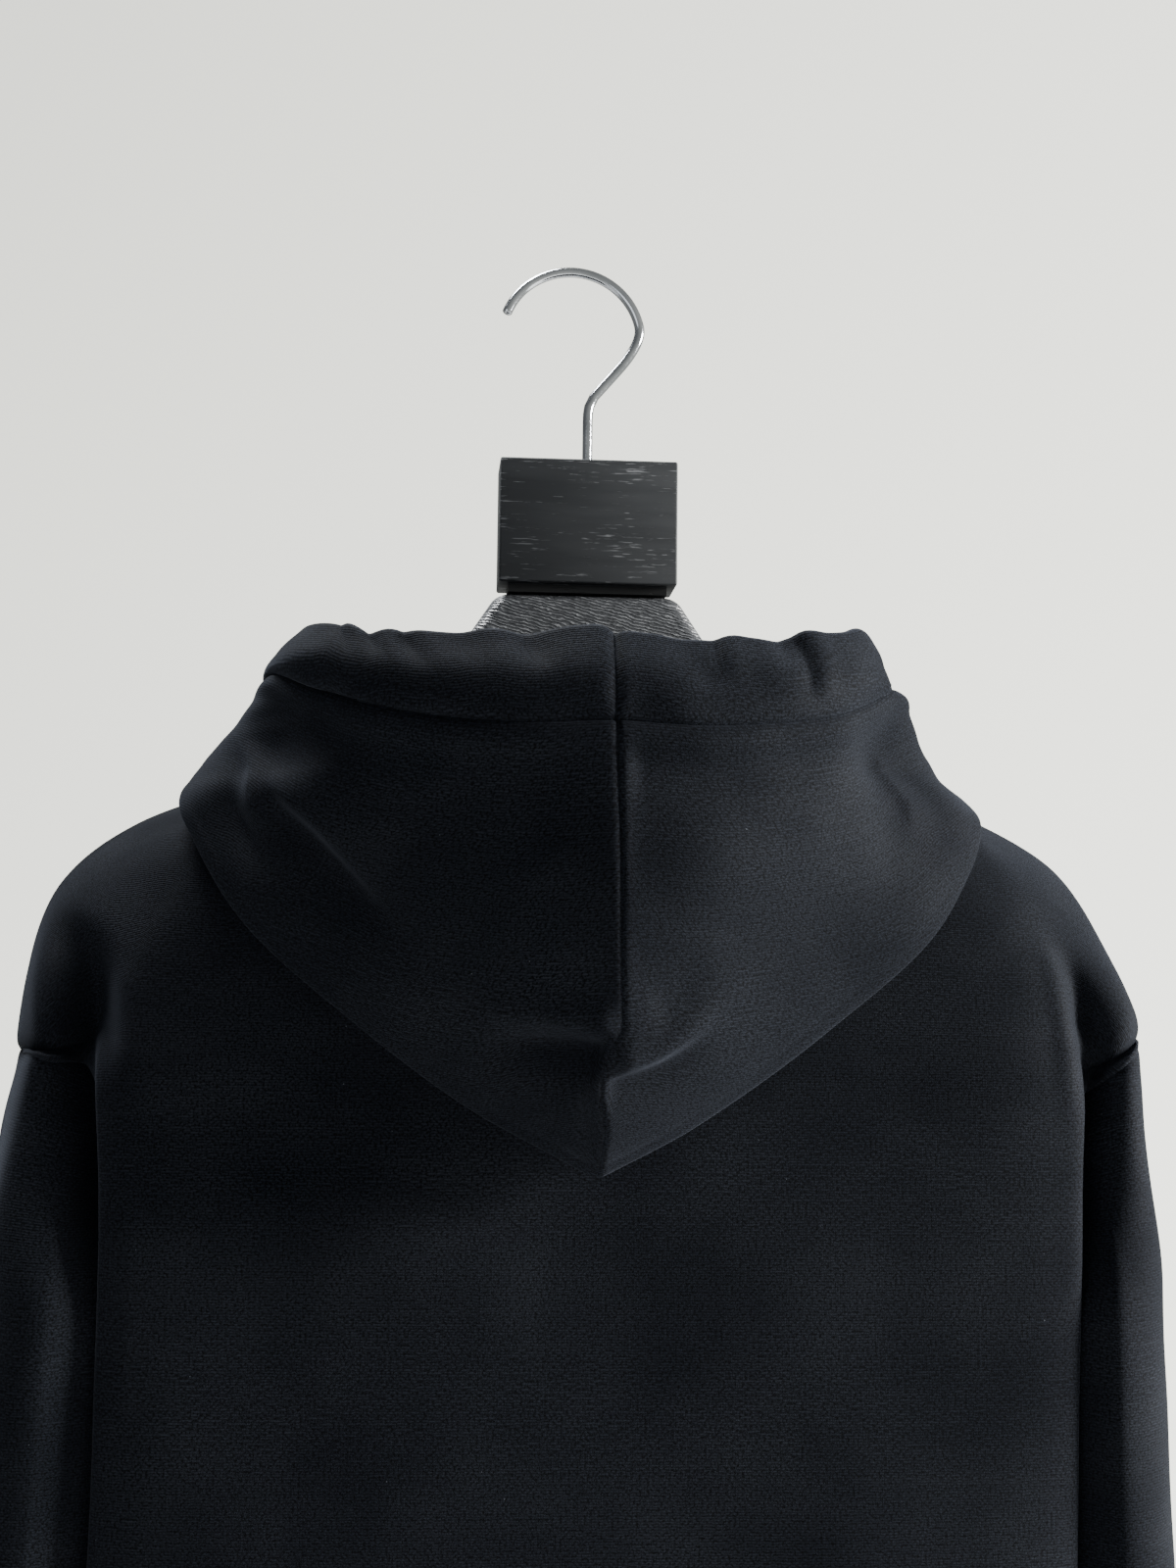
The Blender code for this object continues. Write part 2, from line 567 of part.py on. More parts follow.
def build_garment(collection):
    """All the cut and sewn pieces."""
    back, front = half_panel(), half_panel(front=True)
    cloth("back_panel", back, collection, both_halves=True)
    cloth("front_panel", front, collection, both_halves=True)

    half = np.concatenate([back[-1], front[-1][::-1]])[:, :2]
    hem = np.concatenate([half, (half * [-1, 1])[::-1]])
    rib_knit("hem_band", rib_band(hem[::-1], HEM_BAND), collection)

    sleeve, hood, casing = sleeve_tube(), hood_panel(), hood_casing()
    cuff = rib_band(sleeve[-1][:, :2], CUFF)
    for side, turned in (("right", lambda points: points), ("left", to_left)):
        cloth(f"sleeve_{side}", turned(sleeve), collection, closed=True)
        rib_knit(f"cuff_{side}", turned(cuff), collection)
        cloth(f"hood_{side}", turned(hood), collection)
        casing_piece(f"hood_casing_{side}", turned(casing), collection)


# --- Hanger ----------------------------------------------------------------------------------------

def build_block(collection):
    """Neck block with a narrower foot that stands on the hanger body's flat top."""
    height = BLOCK["top"] - BLOCK["bottom"]
    solid = bmesh.new()
    bmesh.ops.create_cube(solid, size=1.0)
    bmesh.ops.scale(solid, vec=Vector((BLOCK["width"], BLOCK["thick"], height)) * MM,
                    verts=solid.verts)
    bmesh.ops.translate(solid, vec=(0, 0, (BLOCK["top"] - height / 2) * MM), verts=solid.verts)
    under = [face for face in solid.faces if face.normal.z < -0.5]
    bmesh.ops.inset_region(solid, faces=under, thickness=BLOCK_FOOT * MM)
    grown = bmesh.ops.extrude_face_region(solid, geom=under)
    foot = [item for item in grown["geom"] if isinstance(item, bmesh.types.BMVert)]
    for vertex in foot:
        vertex.co.z = BODY_TOP * MM + SEAM_GAP
    bmesh.ops.delete(solid, geom=under, context="FACES")
    bmesh.ops.recalc_face_normals(solid, faces=solid.faces)
    mesh = bpy.data.meshes.new("hanger_block")
    solid.to_mesh(mesh)
    solid.free()
    thing = add_object("hanger_block", mesh, "grained_wood", collection)
    round_edges(thing, BLOCK["edge"], 2)
    mesh.set_sharp_from_angle(angle=SHARP_ANGLE)


def round_edges(thing, width, segments):
    """Bevel the sharp edges of a piece, width in mm."""
    rounding = thing.modifiers.new("edges", "BEVEL")
    rounding.width = width * MM
    rounding.segments = segments
    rounding.limit_method = "ANGLE"
    rounding.angle_limit = SHARP_ANGLE


def hanger_outline():
    """Right half of the hanger body's outline, in mm, from the top centre round to the bottom."""
    edge = through(body_lines()[:, -1, ::2], LEVEL_KNOTS, ARM_ROWS) / MM
    edge = edge - [ARM_INSET, ARM_CLEAR]
    upper = [(0.0, BODY_TOP), (BODY_TOP_HALF, BODY_TOP), *NECK_SIDE, *map(tuple, edge)]
    x, z = upper[-1]
    return [*upper, *((x + out, z + rise) for out, rise in ARM_END), *ARM_UNDER]


def arm_thickness(x):
    """Thickness of the hanger body at x, in mm: the arms get thinner towards their tips."""
    start, end = ARM_THINS
    share = float(smoothstep((abs(x) - start) / (end - start)))
    return ARM_THICK * (1 - (1 - ARM_TIP) * share)


def build_hanger(collection):
    """Neck block, shaped arms and wire hook."""
    build_block(collection)
    build_arms(collection)
    build_hook(collection)


def build_arms(collection):
    """Hanger body: one outline given its thickness, with round edges."""
    half = hanger_outline()
    outline = half + [(-x, z) for x, z in half[-2:0:-1]]
    arms = bmesh.new()
    front = [arms.verts.new(Vector((x, -arm_thickness(x) / 2, z)) * MM) for x, z in outline]
    face = arms.faces.new(front)
    grown = bmesh.ops.extrude_face_region(arms, geom=[face])
    moved = [item for item in grown["geom"] if isinstance(item, bmesh.types.BMVert)]
    for vertex in moved:
        vertex.co.y = -vertex.co.y
    bmesh.ops.recalc_face_normals(arms, faces=arms.faces)
    mesh = bpy.data.meshes.new("hanger_body")
    arms.to_mesh(mesh)
    arms.free()
    thing = add_object("hanger_body", mesh, "glossy_body", collection)
    round_edges(thing, ARM_EDGE, 3)


def hook_path():
    """Middle line of the wire, from the block's top to the tip, as x and z in mm."""
    centre = np.array(HOOK_CENTRE)
    bend = np.array(HOOK_BEND)
    start = np.degrees(np.arctan2(*(bend - centre)[::-1]))
    angles = np.radians(np.linspace(start + HOOK_START, HOOK_TIP_ANGLE, HOOK_STEPS))
    round_part = centre + HOOK_RADIUS * np.stack([np.cos(angles), np.sin(angles)], axis=-1)
    corner = np.array([0.0, STEM_BEND])
    lean = bend - corner
    stem = [(0.0, BLOCK["top"] + SEAM_GAP / MM), *((x, STEM_BEND + up) for x, up in STEM_TURN)]
    shank = [corner + lean * share for share in SHANK_SHARES]
    return np.array([*stem, *shank, *round_part])


def build_hook(collection):
    """Round wire along the hook's path, with filled ends."""
    path = hook_path() * MM
    curve = bpy.data.curves.new("hanger_hook", "CURVE")
    curve.dimensions = "3D"
    curve.bevel_depth = WIRE / 2
    curve.bevel_resolution = 2
    curve.use_fill_caps = True
    line = curve.splines.new("POLY")
    line.points.add(len(path) - 1)
    for point, (x, z) in zip(line.points, path):
        point.co = (x, 0.0, z, 1.0)
    add_object("hanger_hook", curve, "chrome", collection)


def main():
    """Build the garment on its hanger."""
    remove_everything()
    collection = bpy.data.collections.new("hooded_sweatshirt_on_hanger")
    bpy.context.scene.collection.children.link(collection)
    build_garment(collection)
    build_hanger(collection)


main()
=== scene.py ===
"""Dressed model of a black hooded sweatshirt that hangs on a hanger, seen from behind.

Metres, +Z up.  The origin is the point inside the top of the hook that carries the weight.
The garment's back faces -Y and the wearer's left side is at -X.  A cut piece of cloth is a
grid laid out on points worked out from the tables below, and Solidify gives it its wall.
"""

import logging
from dataclasses import dataclass
from enum import Enum
from functools import cache
from typing import Optional

import bmesh
import bpy
import numpy as np
from bpy.types import Material, Mesh, Node, NodeTree, Object
from mathutils import Matrix, Vector
from mathutils.kdtree import KDTree


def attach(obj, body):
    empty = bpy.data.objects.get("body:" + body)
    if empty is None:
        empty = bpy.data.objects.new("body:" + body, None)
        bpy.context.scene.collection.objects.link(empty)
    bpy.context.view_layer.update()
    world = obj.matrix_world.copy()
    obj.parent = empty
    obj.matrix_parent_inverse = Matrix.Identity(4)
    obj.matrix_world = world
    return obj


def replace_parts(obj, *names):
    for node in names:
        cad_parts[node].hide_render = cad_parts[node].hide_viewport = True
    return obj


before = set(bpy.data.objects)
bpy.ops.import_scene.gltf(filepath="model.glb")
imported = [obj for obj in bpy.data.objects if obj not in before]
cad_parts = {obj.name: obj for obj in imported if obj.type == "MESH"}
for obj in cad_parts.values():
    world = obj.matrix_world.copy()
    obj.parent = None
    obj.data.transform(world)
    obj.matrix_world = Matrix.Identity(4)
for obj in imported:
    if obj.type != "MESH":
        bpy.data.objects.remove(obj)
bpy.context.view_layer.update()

LOG = logging.getLogger("sweatshirt")
MM = 0.001  # the tables below are in millimetres
BODY = "root"  # the one rigid body that every piece rides on
WAVE_COUNT = 6  # sine waves in a swell
WAVE_SPREAD = (0.6, 1.6)  # shortest and longest of them, against their mean length
LINE_STEPS = 8  # steps that a crease takes for each point of its line
FAR = 1e9  # mm, past any place on the garment

Pair = tuple[float, float]
Line = tuple[Pair, ...]
Numbers = tuple[float, ...]
Place = tuple[float, float, float]
Colour = tuple[float, float, float]
Socket = bpy.types.NodeSocket
Array = np.ndarray


class Side(Enum):
    """Side of the garment, and the sign of x there."""

    LEFT = -1
    RIGHT = 1


class Face(Enum):
    """Face of the garment, and the sign of y there."""

    BACK = -1
    FRONT = 1


class Hold(Enum):
    """How a sheet of cloth is held."""

    HUNG = "hung"
    DRAPED = "draped"


# --- Curves and surfaces ---------------------------------------------------------------------

def through(points: Array, knots: Array, at: Array) -> Array:
    """Read a smooth curve that passes through points.

    Args:
        points: The points, along the first axis.
        knots: The curve's parameter at each point.
        at: The parameters to read it at.

    Returns:
        One point for each value of `at`.
    """
    points, knots = np.asarray(points, float), np.asarray(knots, float)
    at = np.asarray(at, float)
    slopes = np.gradient(points, knots, axis=0)
    low = np.clip(np.searchsorted(knots, at, side="right") - 1, 0, len(knots) - 2)
    span = knots[low + 1] - knots[low]
    part = (at - knots[low]) / span
    shape = part.shape + (1,) * (points.ndim - 1)
    part, span = part.reshape(shape), span.reshape(shape)
    return ((1 + 2 * part) * (1 - part) ** 2 * points[low]
            + part * (1 - part) ** 2 * span * slopes[low]
            + part ** 2 * (3 - 2 * part) * points[low + 1]
            + part ** 2 * (part - 1) * span * slopes[low + 1])


def read_table(table: Line, at: Array) -> Array:
    """Read a smooth curve from a table of its places and values, level past its ends."""
    rows = np.array(table, float)
    return through(rows[:, 1:], rows[:, 0], np.clip(at, rows[0, 0], rows[-1, 0]))[..., 0]


def ease(value: Array) -> Array:
    """Return 0 below 0, 1 above 1, and a smooth rise between."""
    value = np.clip(value, 0.0, 1.0)
    return value * value * (3 - 2 * value)


def unit(vectors: Array) -> Array:
    """Return the vectors at length 1."""
    return vectors / np.maximum(np.linalg.norm(vectors, axis=-1, keepdims=True), 1e-12)


def run_into_seam(points: Array, seam: Array, across: Array, gap: float, strip: float) -> None:
    """Turn a grid's last row so that it runs straight into its seam and stops short of it.

    Args:
        points: The grid, changed in place.
        seam: The seam's line, one point for each column.
        across: Direction into the seam at each column.
        gap: Distance between the two pieces at the seam.
        strip: Length of the straight strip beside the seam.
    """
    points[-1] = seam - across * gap / 2
    points[-2] = seam - across * strip


def on_back(points: Array, start: float, blend: float) -> Array:
    """Return 0 in front of y = -start, and 1 from `blend` behind it, both in mm."""
    return ease((-points[..., 1] / MM - start) / blend)


def way_out(points: Array) -> Array:
    """Unit normals of a grid whose rows go down and columns go to +X on the back."""
    return unit(np.cross(np.gradient(points, axis=0), np.gradient(points, axis=1)))


def lengths_along(points: Array, axis: int) -> Array:
    """Distance travelled along an axis of a grid of points, from its first point.

    Args:
        points: The grid [row, column, xyz].
        axis: 0 for down the rows, 1 for along the columns.

    Returns:
        The distance at each point [row, column].
    """
    steps = np.linalg.norm(np.diff(points, axis=axis), axis=-1)
    start = np.zeros_like(np.take(steps, [0], axis=axis))
    return np.concatenate([start, np.cumsum(steps, axis=axis)], axis=axis)


def soft_waves(first: Array, second: Array, seed: int, wave: float) -> Array:
    """Smooth uneven swell made of a few sine waves that cross each other.

    Args:
        first: First coordinate of each point.
        second: Second coordinate of each point.
        seed: Picks the waves' directions.
        wave: Mean length of the waves, in the unit of the coordinates.

    Returns:
        The swell at each point, about -1 to 1.
    """
    chance = np.random.default_rng(seed)
    total = np.zeros(np.shape(first))
    for _ in range(WAVE_COUNT):
        turn, phase = chance.uniform(0, 2 * np.pi, 2)
        pace = 2 * np.pi / (wave * chance.uniform(*WAVE_SPREAD))
        total += np.sin(pace * (np.cos(turn) * first + np.sin(turn) * second) + phase)
    return total * 2 / WAVE_COUNT


@dataclass(frozen=True)
class Crease:
    """A soft fold along a line on the garment's back; x, z and sizes in mm."""

    line: Line
    height: float  # out of the cloth, or into it where it is below 0
    above: float  # reach on the upper side of a line that runs to +X, or on
    below: float  # the right of one that runs down, and reach on the other
    fade: Pair = (0.25, 0.25)  # share of the line that dies away at its ends
    crest: float = 2.0  # 2 is a round crest, and less is a sharper one

    def at(self, x: Array, z: Array) -> Array:
        """Height of the fold at points of the back.

        Args:
            x: The points' x, in mm.
            z: The points' z, in mm.

        Returns:
            The height at each point, in mm.
        """
        knots = np.linspace(0, 1, len(self.line))
        path = through(self.line, knots, np.linspace(0, 1, LINE_STEPS * len(self.line)))
        best, where, side = np.full(x.shape, FAR), np.zeros(x.shape), np.zeros(x.shape)
        count = len(path) - 1
        for index, (start, end) in enumerate(zip(path[:-1], path[1:])):
            step = end - start
            part = ((x - start[0]) * step[0] + (z - start[1]) * step[1]) / np.dot(step, step)
            part = np.clip(part, 0, 1)
            away_x, away_z = x - start[0] - part * step[0], z - start[1] - part * step[1]
            far = np.hypot(away_x, away_z)
            closer = far < best
            best = np.where(closer, far, best)
            where = np.where(closer, (index + part) / count, where)
            side = np.where(closer, step[0] * away_z - step[1] * away_x, side)
        reach = np.where(side > 0, self.above, self.below)
        ends = (ease(where / max(self.fade[0], 1e-3))
                * ease((1 - where) / max(self.fade[1], 1e-3)))
        return self.height * np.exp(-(best / reach) ** self.crest) * ends


def folds_at(creases: tuple[Crease, ...], points: Array) -> Array:
    """Total height of the creases at points in metres, in metres."""
    x, z = points[..., 0] / MM, points[..., 2] / MM
    return sum((crease.at(x, z) for crease in creases), np.zeros(x.shape)) * MM


@dataclass(frozen=True)
class Shift:
    """A soft local move of the cloth; sizes in mm."""

    place: Pair  # x and z of its middle
    reach: Pair  # along x and z
    move: Place
    behind: bool = False  # only the garment's back takes it
    back_from: Pair = (4.0, 20.0)  # how far behind the middle that starts, and its blend

    def at(self, points: Array) -> Array:
        """Work out the move.

        Args:
            points: The points, in metres.

        Returns:
            The move at each point, in metres.
        """
        x, z = points[..., 0] / MM, points[..., 2] / MM
        share = np.exp(-((x - self.place[0]) / self.reach[0]) ** 2
                       - ((z - self.place[1]) / self.reach[1]) ** 2)
        if self.behind:
            share = share * on_back(points, *self.back_from)
        return share[..., None] * np.array(self.move) * MM


@dataclass(frozen=True)
class Settling:
    """How the shoulders hang: the panels and the sleeves take the same moves."""

    shifts: tuple[Shift, ...] = (
        Shift((-217, -378), (14, 20), (0, 0, 11), True),  # left seam nearly level
        Shift((-256, -361), (24, 28), (6.5, 0, -2)),  # left lobe held in
        Shift((256, -363), (18, 22), (0, 0, 7.5)),  # right seam rises outwards
        Shift((226, -304), (28, 26), (-3, 0, -6.5)),  # right shoulder falls sooner
        Shift((-206, -450), (20, 160), (8.5, 0, 0), True),  # left edge of the back
        Shift((196, -268), (24, 20), (0, 0, -2.2)),  # right shoulder by the hood
        Shift((262, -560), (34, 115), (-5.6, 0, 0)),  # right sleeve hangs straight
    )
    folds: tuple[Crease, ...] = (  # into the garment where below 0
        Crease(((-230, -300), (-224, -314), (-217, -330), (-214, -348), (-213.5, -368),
                (-214, -392)), -11.5, 6.0, 11.0, (0.5, 0.25)),
        Crease(((-206, -326), (-203, -348), (-203, -380)), 0.8, 5.0, 3.5, (0.3, 0.3)),
        Crease(((214, -306), (217, -325), (219, -345), (219, -362)), -4.5, 8.0, 5.0, (0.4, 0.3)),
        Crease(((203, -306), (207, -330), (209, -360), (210, -400)), 2.4, 3.5, 6.0, (0.3, 0.3)),
    )
    folds_from: Pair = (8.0, 20.0)  # how far behind the middle the folds start, their blend

    def apply(self, points: Array) -> Array:
        """Settle a panel or a sleeve.

        Args:
            points: Its grid, in metres.

        Returns:
            The moved grid.
        """
        moved = points + sum(shift.at(points) for shift in self.shifts)
        folds = folds_at(self.folds, points)
        moved[..., 1] -= folds * on_back(points, *self.folds_from)
        return moved


SETTLING = Settling()


def relax(points: Array, share: Array, passes: int) -> Array:
    """Even out a grid by moving each point towards the middle of its neighbours in its column.

    Args:
        points: The grid [row, column, xyz].
        share: How much of that move each point takes.
        passes: How many times it is done.

    Returns:
        The smoothed grid.
    """
    smooth = points.copy()
    for _ in range(passes):
        middle = (smooth[:-2] + smooth[2:]) / 2
        smooth[1:-1] += (middle - smooth[1:-1]) * share[1:-1, :, None]
    return smooth


# --- Shader node groups ----------------------------------------------------------------------

@dataclass
class NodeBench:
    """Adds nodes to one tree, left to right, and joins them."""

    tree: NodeTree
    count: int = 0
    step: Pair = (60.0, 140.0)  # room for one node, across and down
    rows: int = 5

    def add(self, kind: str, **settings: object) -> Node:
        """Add a node.

        Args:
            kind: The node's type, without the ShaderNode at its start.
            settings: The node's own properties.

        Returns:
            The node.
        """
        node = self.tree.nodes.new(f"ShaderNode{kind}")
        for name, value in settings.items():
            setattr(node, name, value)
        node.location = (self.count * self.step[0], -(self.count % self.rows) * self.step[1])
        self.count += 1
        return node

    def join(self, out: Socket, into: Socket) -> None:
        """Link one socket to another."""
        self.tree.links.new(out, into)

    def feed(self, value: object, socket: Socket) -> None:
        """Link a socket, or set a number, a vector or an opaque colour on it.

        Args:
            value: The other socket, or the value.
            socket: The input that takes it.
        """
        if isinstance(value, Socket):
            self.join(value, socket)
        elif socket.type == "RGBA":
            socket.default_value = (*value, 1.0)
        else:
            socket.default_value = value

    def fill(self, node: Node, values: dict[object, object]) -> Node:
        """Feed some of a node's inputs.

        Args:
            node: The node.
            values: A socket or a value for each input, by its name or its number.

        Returns:
            The node.
        """
        for key, value in values.items():
            self.feed(value, node.inputs[key])
        return node

    def math(self, operation: str, first: object, second: object = 0.0,
             third: object = 0.0) -> Socket:
        """Add a Math node for up to three sockets or numbers, and return its result."""
        node = self.add("Math", operation=operation)
        return self.fill(node, {0: first, 1: second, 2: third}).outputs[0]

    def mixed(self, first: Socket, second: Socket, share: float) -> Socket:
        """Return `share` of the first value plus the rest of the second."""
        return self.math("ADD", self.math("MULTIPLY", first, share),
                         self.math("MULTIPLY", second, round(1 - share, 6)))

    def noise(self, vector: Socket, scale: float, detail: float = 2.0,
              roughness: float = 0.5) -> Socket:
        """Add a Noise Texture read at a vector, and return its value, about 0.5."""
        return self.fill(self.add("TexNoise"), {
            "Vector": vector, "Scale": scale, "Detail": detail,
            "Roughness": roughness}).outputs["Fac"]

    def span(self, value: Socket, low: object, high: object, to_low: float = 0.0,
             to_high: float = 1.0) -> Socket:
        """Add a clamped Map Range from low-high to to_low-to_high; sockets or numbers."""
        return self.fill(self.add("MapRange", clamp=True), {
            "Value": value, "From Min": low, "From Max": high, "To Min": to_low,
            "To Max": to_high}).outputs["Result"]

    def blend(self, share: Socket, first: object, second: object) -> Socket:
        """Add a colour Mix with this share of the second colour, and return the mix."""
        node = self.add("Mix", data_type="RGBA")
        return self.fill(node, {"Factor": share, 6: first, 7: second}).outputs[2]

    def stretched(self, vector: Socket, scale: Place, turn: Place = (0.0, 0.0, 0.0)) -> Socket:
        """Turn a pattern, in radians, then stretch it, and return its new vector."""
        turned = self.fill(self.add("VectorRotate", rotation_type="EULER_XYZ"),
                           {"Vector": vector, "Rotation": turn})
        return self.fill(self.add("Mapping"), {
            "Vector": turned.outputs["Vector"], "Scale": scale}).outputs["Vector"]

    def group(self, tree: NodeTree, place: Socket, **values: float) -> Node:
        """Place a node group in a material.

        Args:
            tree: The group.
            place: Where its pattern is read.
            values: Values for its named inputs.

        Returns:
            The group's node.
        """
        node = self.add("Group")
        node.node_tree = tree
        return self.fill(node, {"Place": place, **values})

    def bump(self, shader: Node, height: Socket, depth: float) -> None:
        """Feed a height to a shader's normal; a height of 1 is `depth` metres."""
        node = self.fill(self.add("Bump"), {"Distance": depth, "Strength": 1.0,
                                            "Height": height})
        self.join(node.outputs["Normal"], shader.inputs["Normal"])


def start_group(name: str, inputs: dict[str, float], outputs: tuple[str, ...]
                ) -> tuple[NodeBench, dict[str, Socket], Node]:
    """Make an empty shader node group, which reads its pattern at the vector Place.

    Args:
        name: The group's name.
        inputs: The other inputs, all values, with their defaults.
        outputs: Names of the outputs, all values.

    Returns:
        Its bench, its inputs' sockets by name, and its output node.
    """
    tree = bpy.data.node_groups.new(name, "ShaderNodeTree")
    tree.interface.new_socket("Place", in_out="INPUT", socket_type="NodeSocketVector")
    for label, value in inputs.items():
        socket = tree.interface.new_socket(label, in_out="INPUT", socket_type="NodeSocketFloat")
        socket.default_value = value
    for label in outputs:
        tree.interface.new_socket(label, in_out="OUTPUT", socket_type="NodeSocketFloat")
    start = tree.nodes.new("NodeGroupInput")
    end = tree.nodes.new("NodeGroupOutput")
    return NodeBench(tree), {socket.name: socket for socket in start.outputs}, end


@dataclass(frozen=True)
class KnitPattern:
    """Knit courses, the stitches across them, and a soft nap; scales are per metre."""

    wobble_scale: float = 160.0
    drift: float = 0.0011  # how far the courses wander, in metres
    nap_scale: float = 880.0
    nap_roughness: float = 0.7
    course_height: float = 0.62
    stitch_height: float = 0.18
    nap_height: float = 0.85
    cloud_scale: float = 13.0
    cloud_roughness: float = 0.55
    line_stretch: Place = (9.0, 420.0, 1.0)
    cloud_share: float = 0.86  # of the tone; the rest is lines along the courses

    @cache
    def tree(self) -> NodeTree:
        """Build the node group once.

        Returns:
            The group, with the outputs Height, Tone and Grain.
        """
        bench, given, end = start_group("knit_courses", {"Course": 0.00125, "Wale": 0.0011},
                                        ("Height", "Tone", "Grain"))
        place = given["Place"]
        wobble = bench.noise(place, self.wobble_scale)
        parts = bench.fill(bench.add("SeparateXYZ"), {0: place})
        drift = bench.math("MULTIPLY", bench.math("SUBTRACT", wobble, 0.5), self.drift)
        waves = []
        for axis, pitch in (("Y", given["Course"]), ("X", given["Wale"])):
            along = bench.math("ADD", parts.outputs[axis], drift)
            turns = bench.math("MULTIPLY", bench.math("DIVIDE", along, pitch), 2 * np.pi)
            waves.append(bench.math("MULTIPLY_ADD", bench.math("SINE", turns), 0.5, 0.5))
        nap = bench.noise(place, self.nap_scale, 3.0, self.nap_roughness)
        courses = bench.math("MULTIPLY", waves[0], self.course_height)
        stitches = bench.math("MULTIPLY", bench.math("MULTIPLY", *waves), self.stitch_height)
        rough = bench.math("MULTIPLY", nap, self.nap_height)
        height = bench.math("ADD", bench.math("ADD", courses, stitches), rough)
        clouds = bench.noise(place, self.cloud_scale, 3.0, self.cloud_roughness)
        lines = bench.noise(bench.stretched(place, self.line_stretch), 1.0)
        tone = bench.mixed(clouds, lines, self.cloud_share)
        bench.fill(end, {"Height": height, "Tone": tone, "Grain": nap})
        return bench.tree


@dataclass(frozen=True)
class LintPattern:
    """A few specks and short fibres of lint, one at most in each cell."""

    bend_scale: float = 6.0
    bend: float = 0.16  # how far a speck is bent, in cells

    @cache
    def tree(self) -> NodeTree:
        """Build the node group once.

        Returns:
            The group, with the output Mask.
        """
        bench, given, end = start_group(
            "lint", {"Spacing": 0.012, "Speck": 0.022, "Share": 0.35}, ("Mask",))
        scaled = bench.fill(bench.add("VectorMath", operation="DIVIDE"),
                            {0: given["Place"], 1: given["Spacing"]}).outputs[0]
        bend = bench.fill(bench.add("TexNoise"), {"Vector": scaled, "Scale": self.bend_scale})
        bent = bench.fill(bench.add("VectorMath", operation="MULTIPLY_ADD"),
                          {0: bend.outputs["Color"], 1: (self.bend,) * 3, 2: scaled})
        cells = bench.fill(bench.add("TexVoronoi", feature="F1"),
                           {"Vector": bent.outputs[0], "Scale": 1.0})
        parts = bench.fill(bench.add("SeparateColor"), {0: cells.outputs["Color"]})
        near = bench.math("LESS_THAN", cells.outputs["Distance"], given["Speck"])
        chosen = bench.math("LESS_THAN", parts.outputs[0], given["Share"])
        bench.fill(end, {"Mask": bench.math("MULTIPLY", near, chosen)})
        return bench.tree


@dataclass(frozen=True)
class StreakPattern:
    """Short broken streaks along X, as open grain has, and a slow swell."""

    streaks: Place = (95.0, 700.0, 1500.0)  # how often each repeats along x, y and z, per metre
    patches: Place = (26.0, 60.0, 45.0)
    swell: Place = (14.0, 60.0, 110.0)
    streak_roughness: float = 0.6
    streak_share: float = 0.72  # the rest is the patches that break them up

    @cache
    def tree(self) -> NodeTree:
        """Build the node group once.

        Returns:
            The group, with the outputs Mask and Swell.
        """
        bench, given, end = start_group("streaks", {"Low": 0.6, "High": 0.7}, ("Mask", "Swell"))
        place = given["Place"]
        streaks = bench.noise(bench.stretched(place, self.streaks), 1.0, 2.0,
                              self.streak_roughness)
        patches = bench.noise(bench.stretched(place, self.patches), 1.0, 1.0)
        both = bench.mixed(streaks, patches, self.streak_share)
        swell = bench.noise(bench.stretched(place, self.swell), 1.0, 3.0)
        bench.fill(end, {"Mask": bench.span(both, given["Low"], given["High"]),
                         "Swell": swell})
        return bench.tree


# --- Finishes --------------------------------------------------------------------------------

def start_material(name: str) -> tuple[Material, NodeBench, Node]:
    """Make a material with one Principled shader.

    Args:
        name: The name of its slot in the record.

    Returns:
        The material, the bench of its tree, and the shader.
    """
    material = bpy.data.materials.new(f"{name}_finish")
    material.use_nodes = True
    tree = material.node_tree
    return material, NodeBench(tree), tree.nodes["Principled BSDF"]


def own_place(bench: NodeBench) -> Socket:
    """Return the socket of the piece's own coordinates, in metres."""
    return bench.add("TexCoord").outputs["Object"]


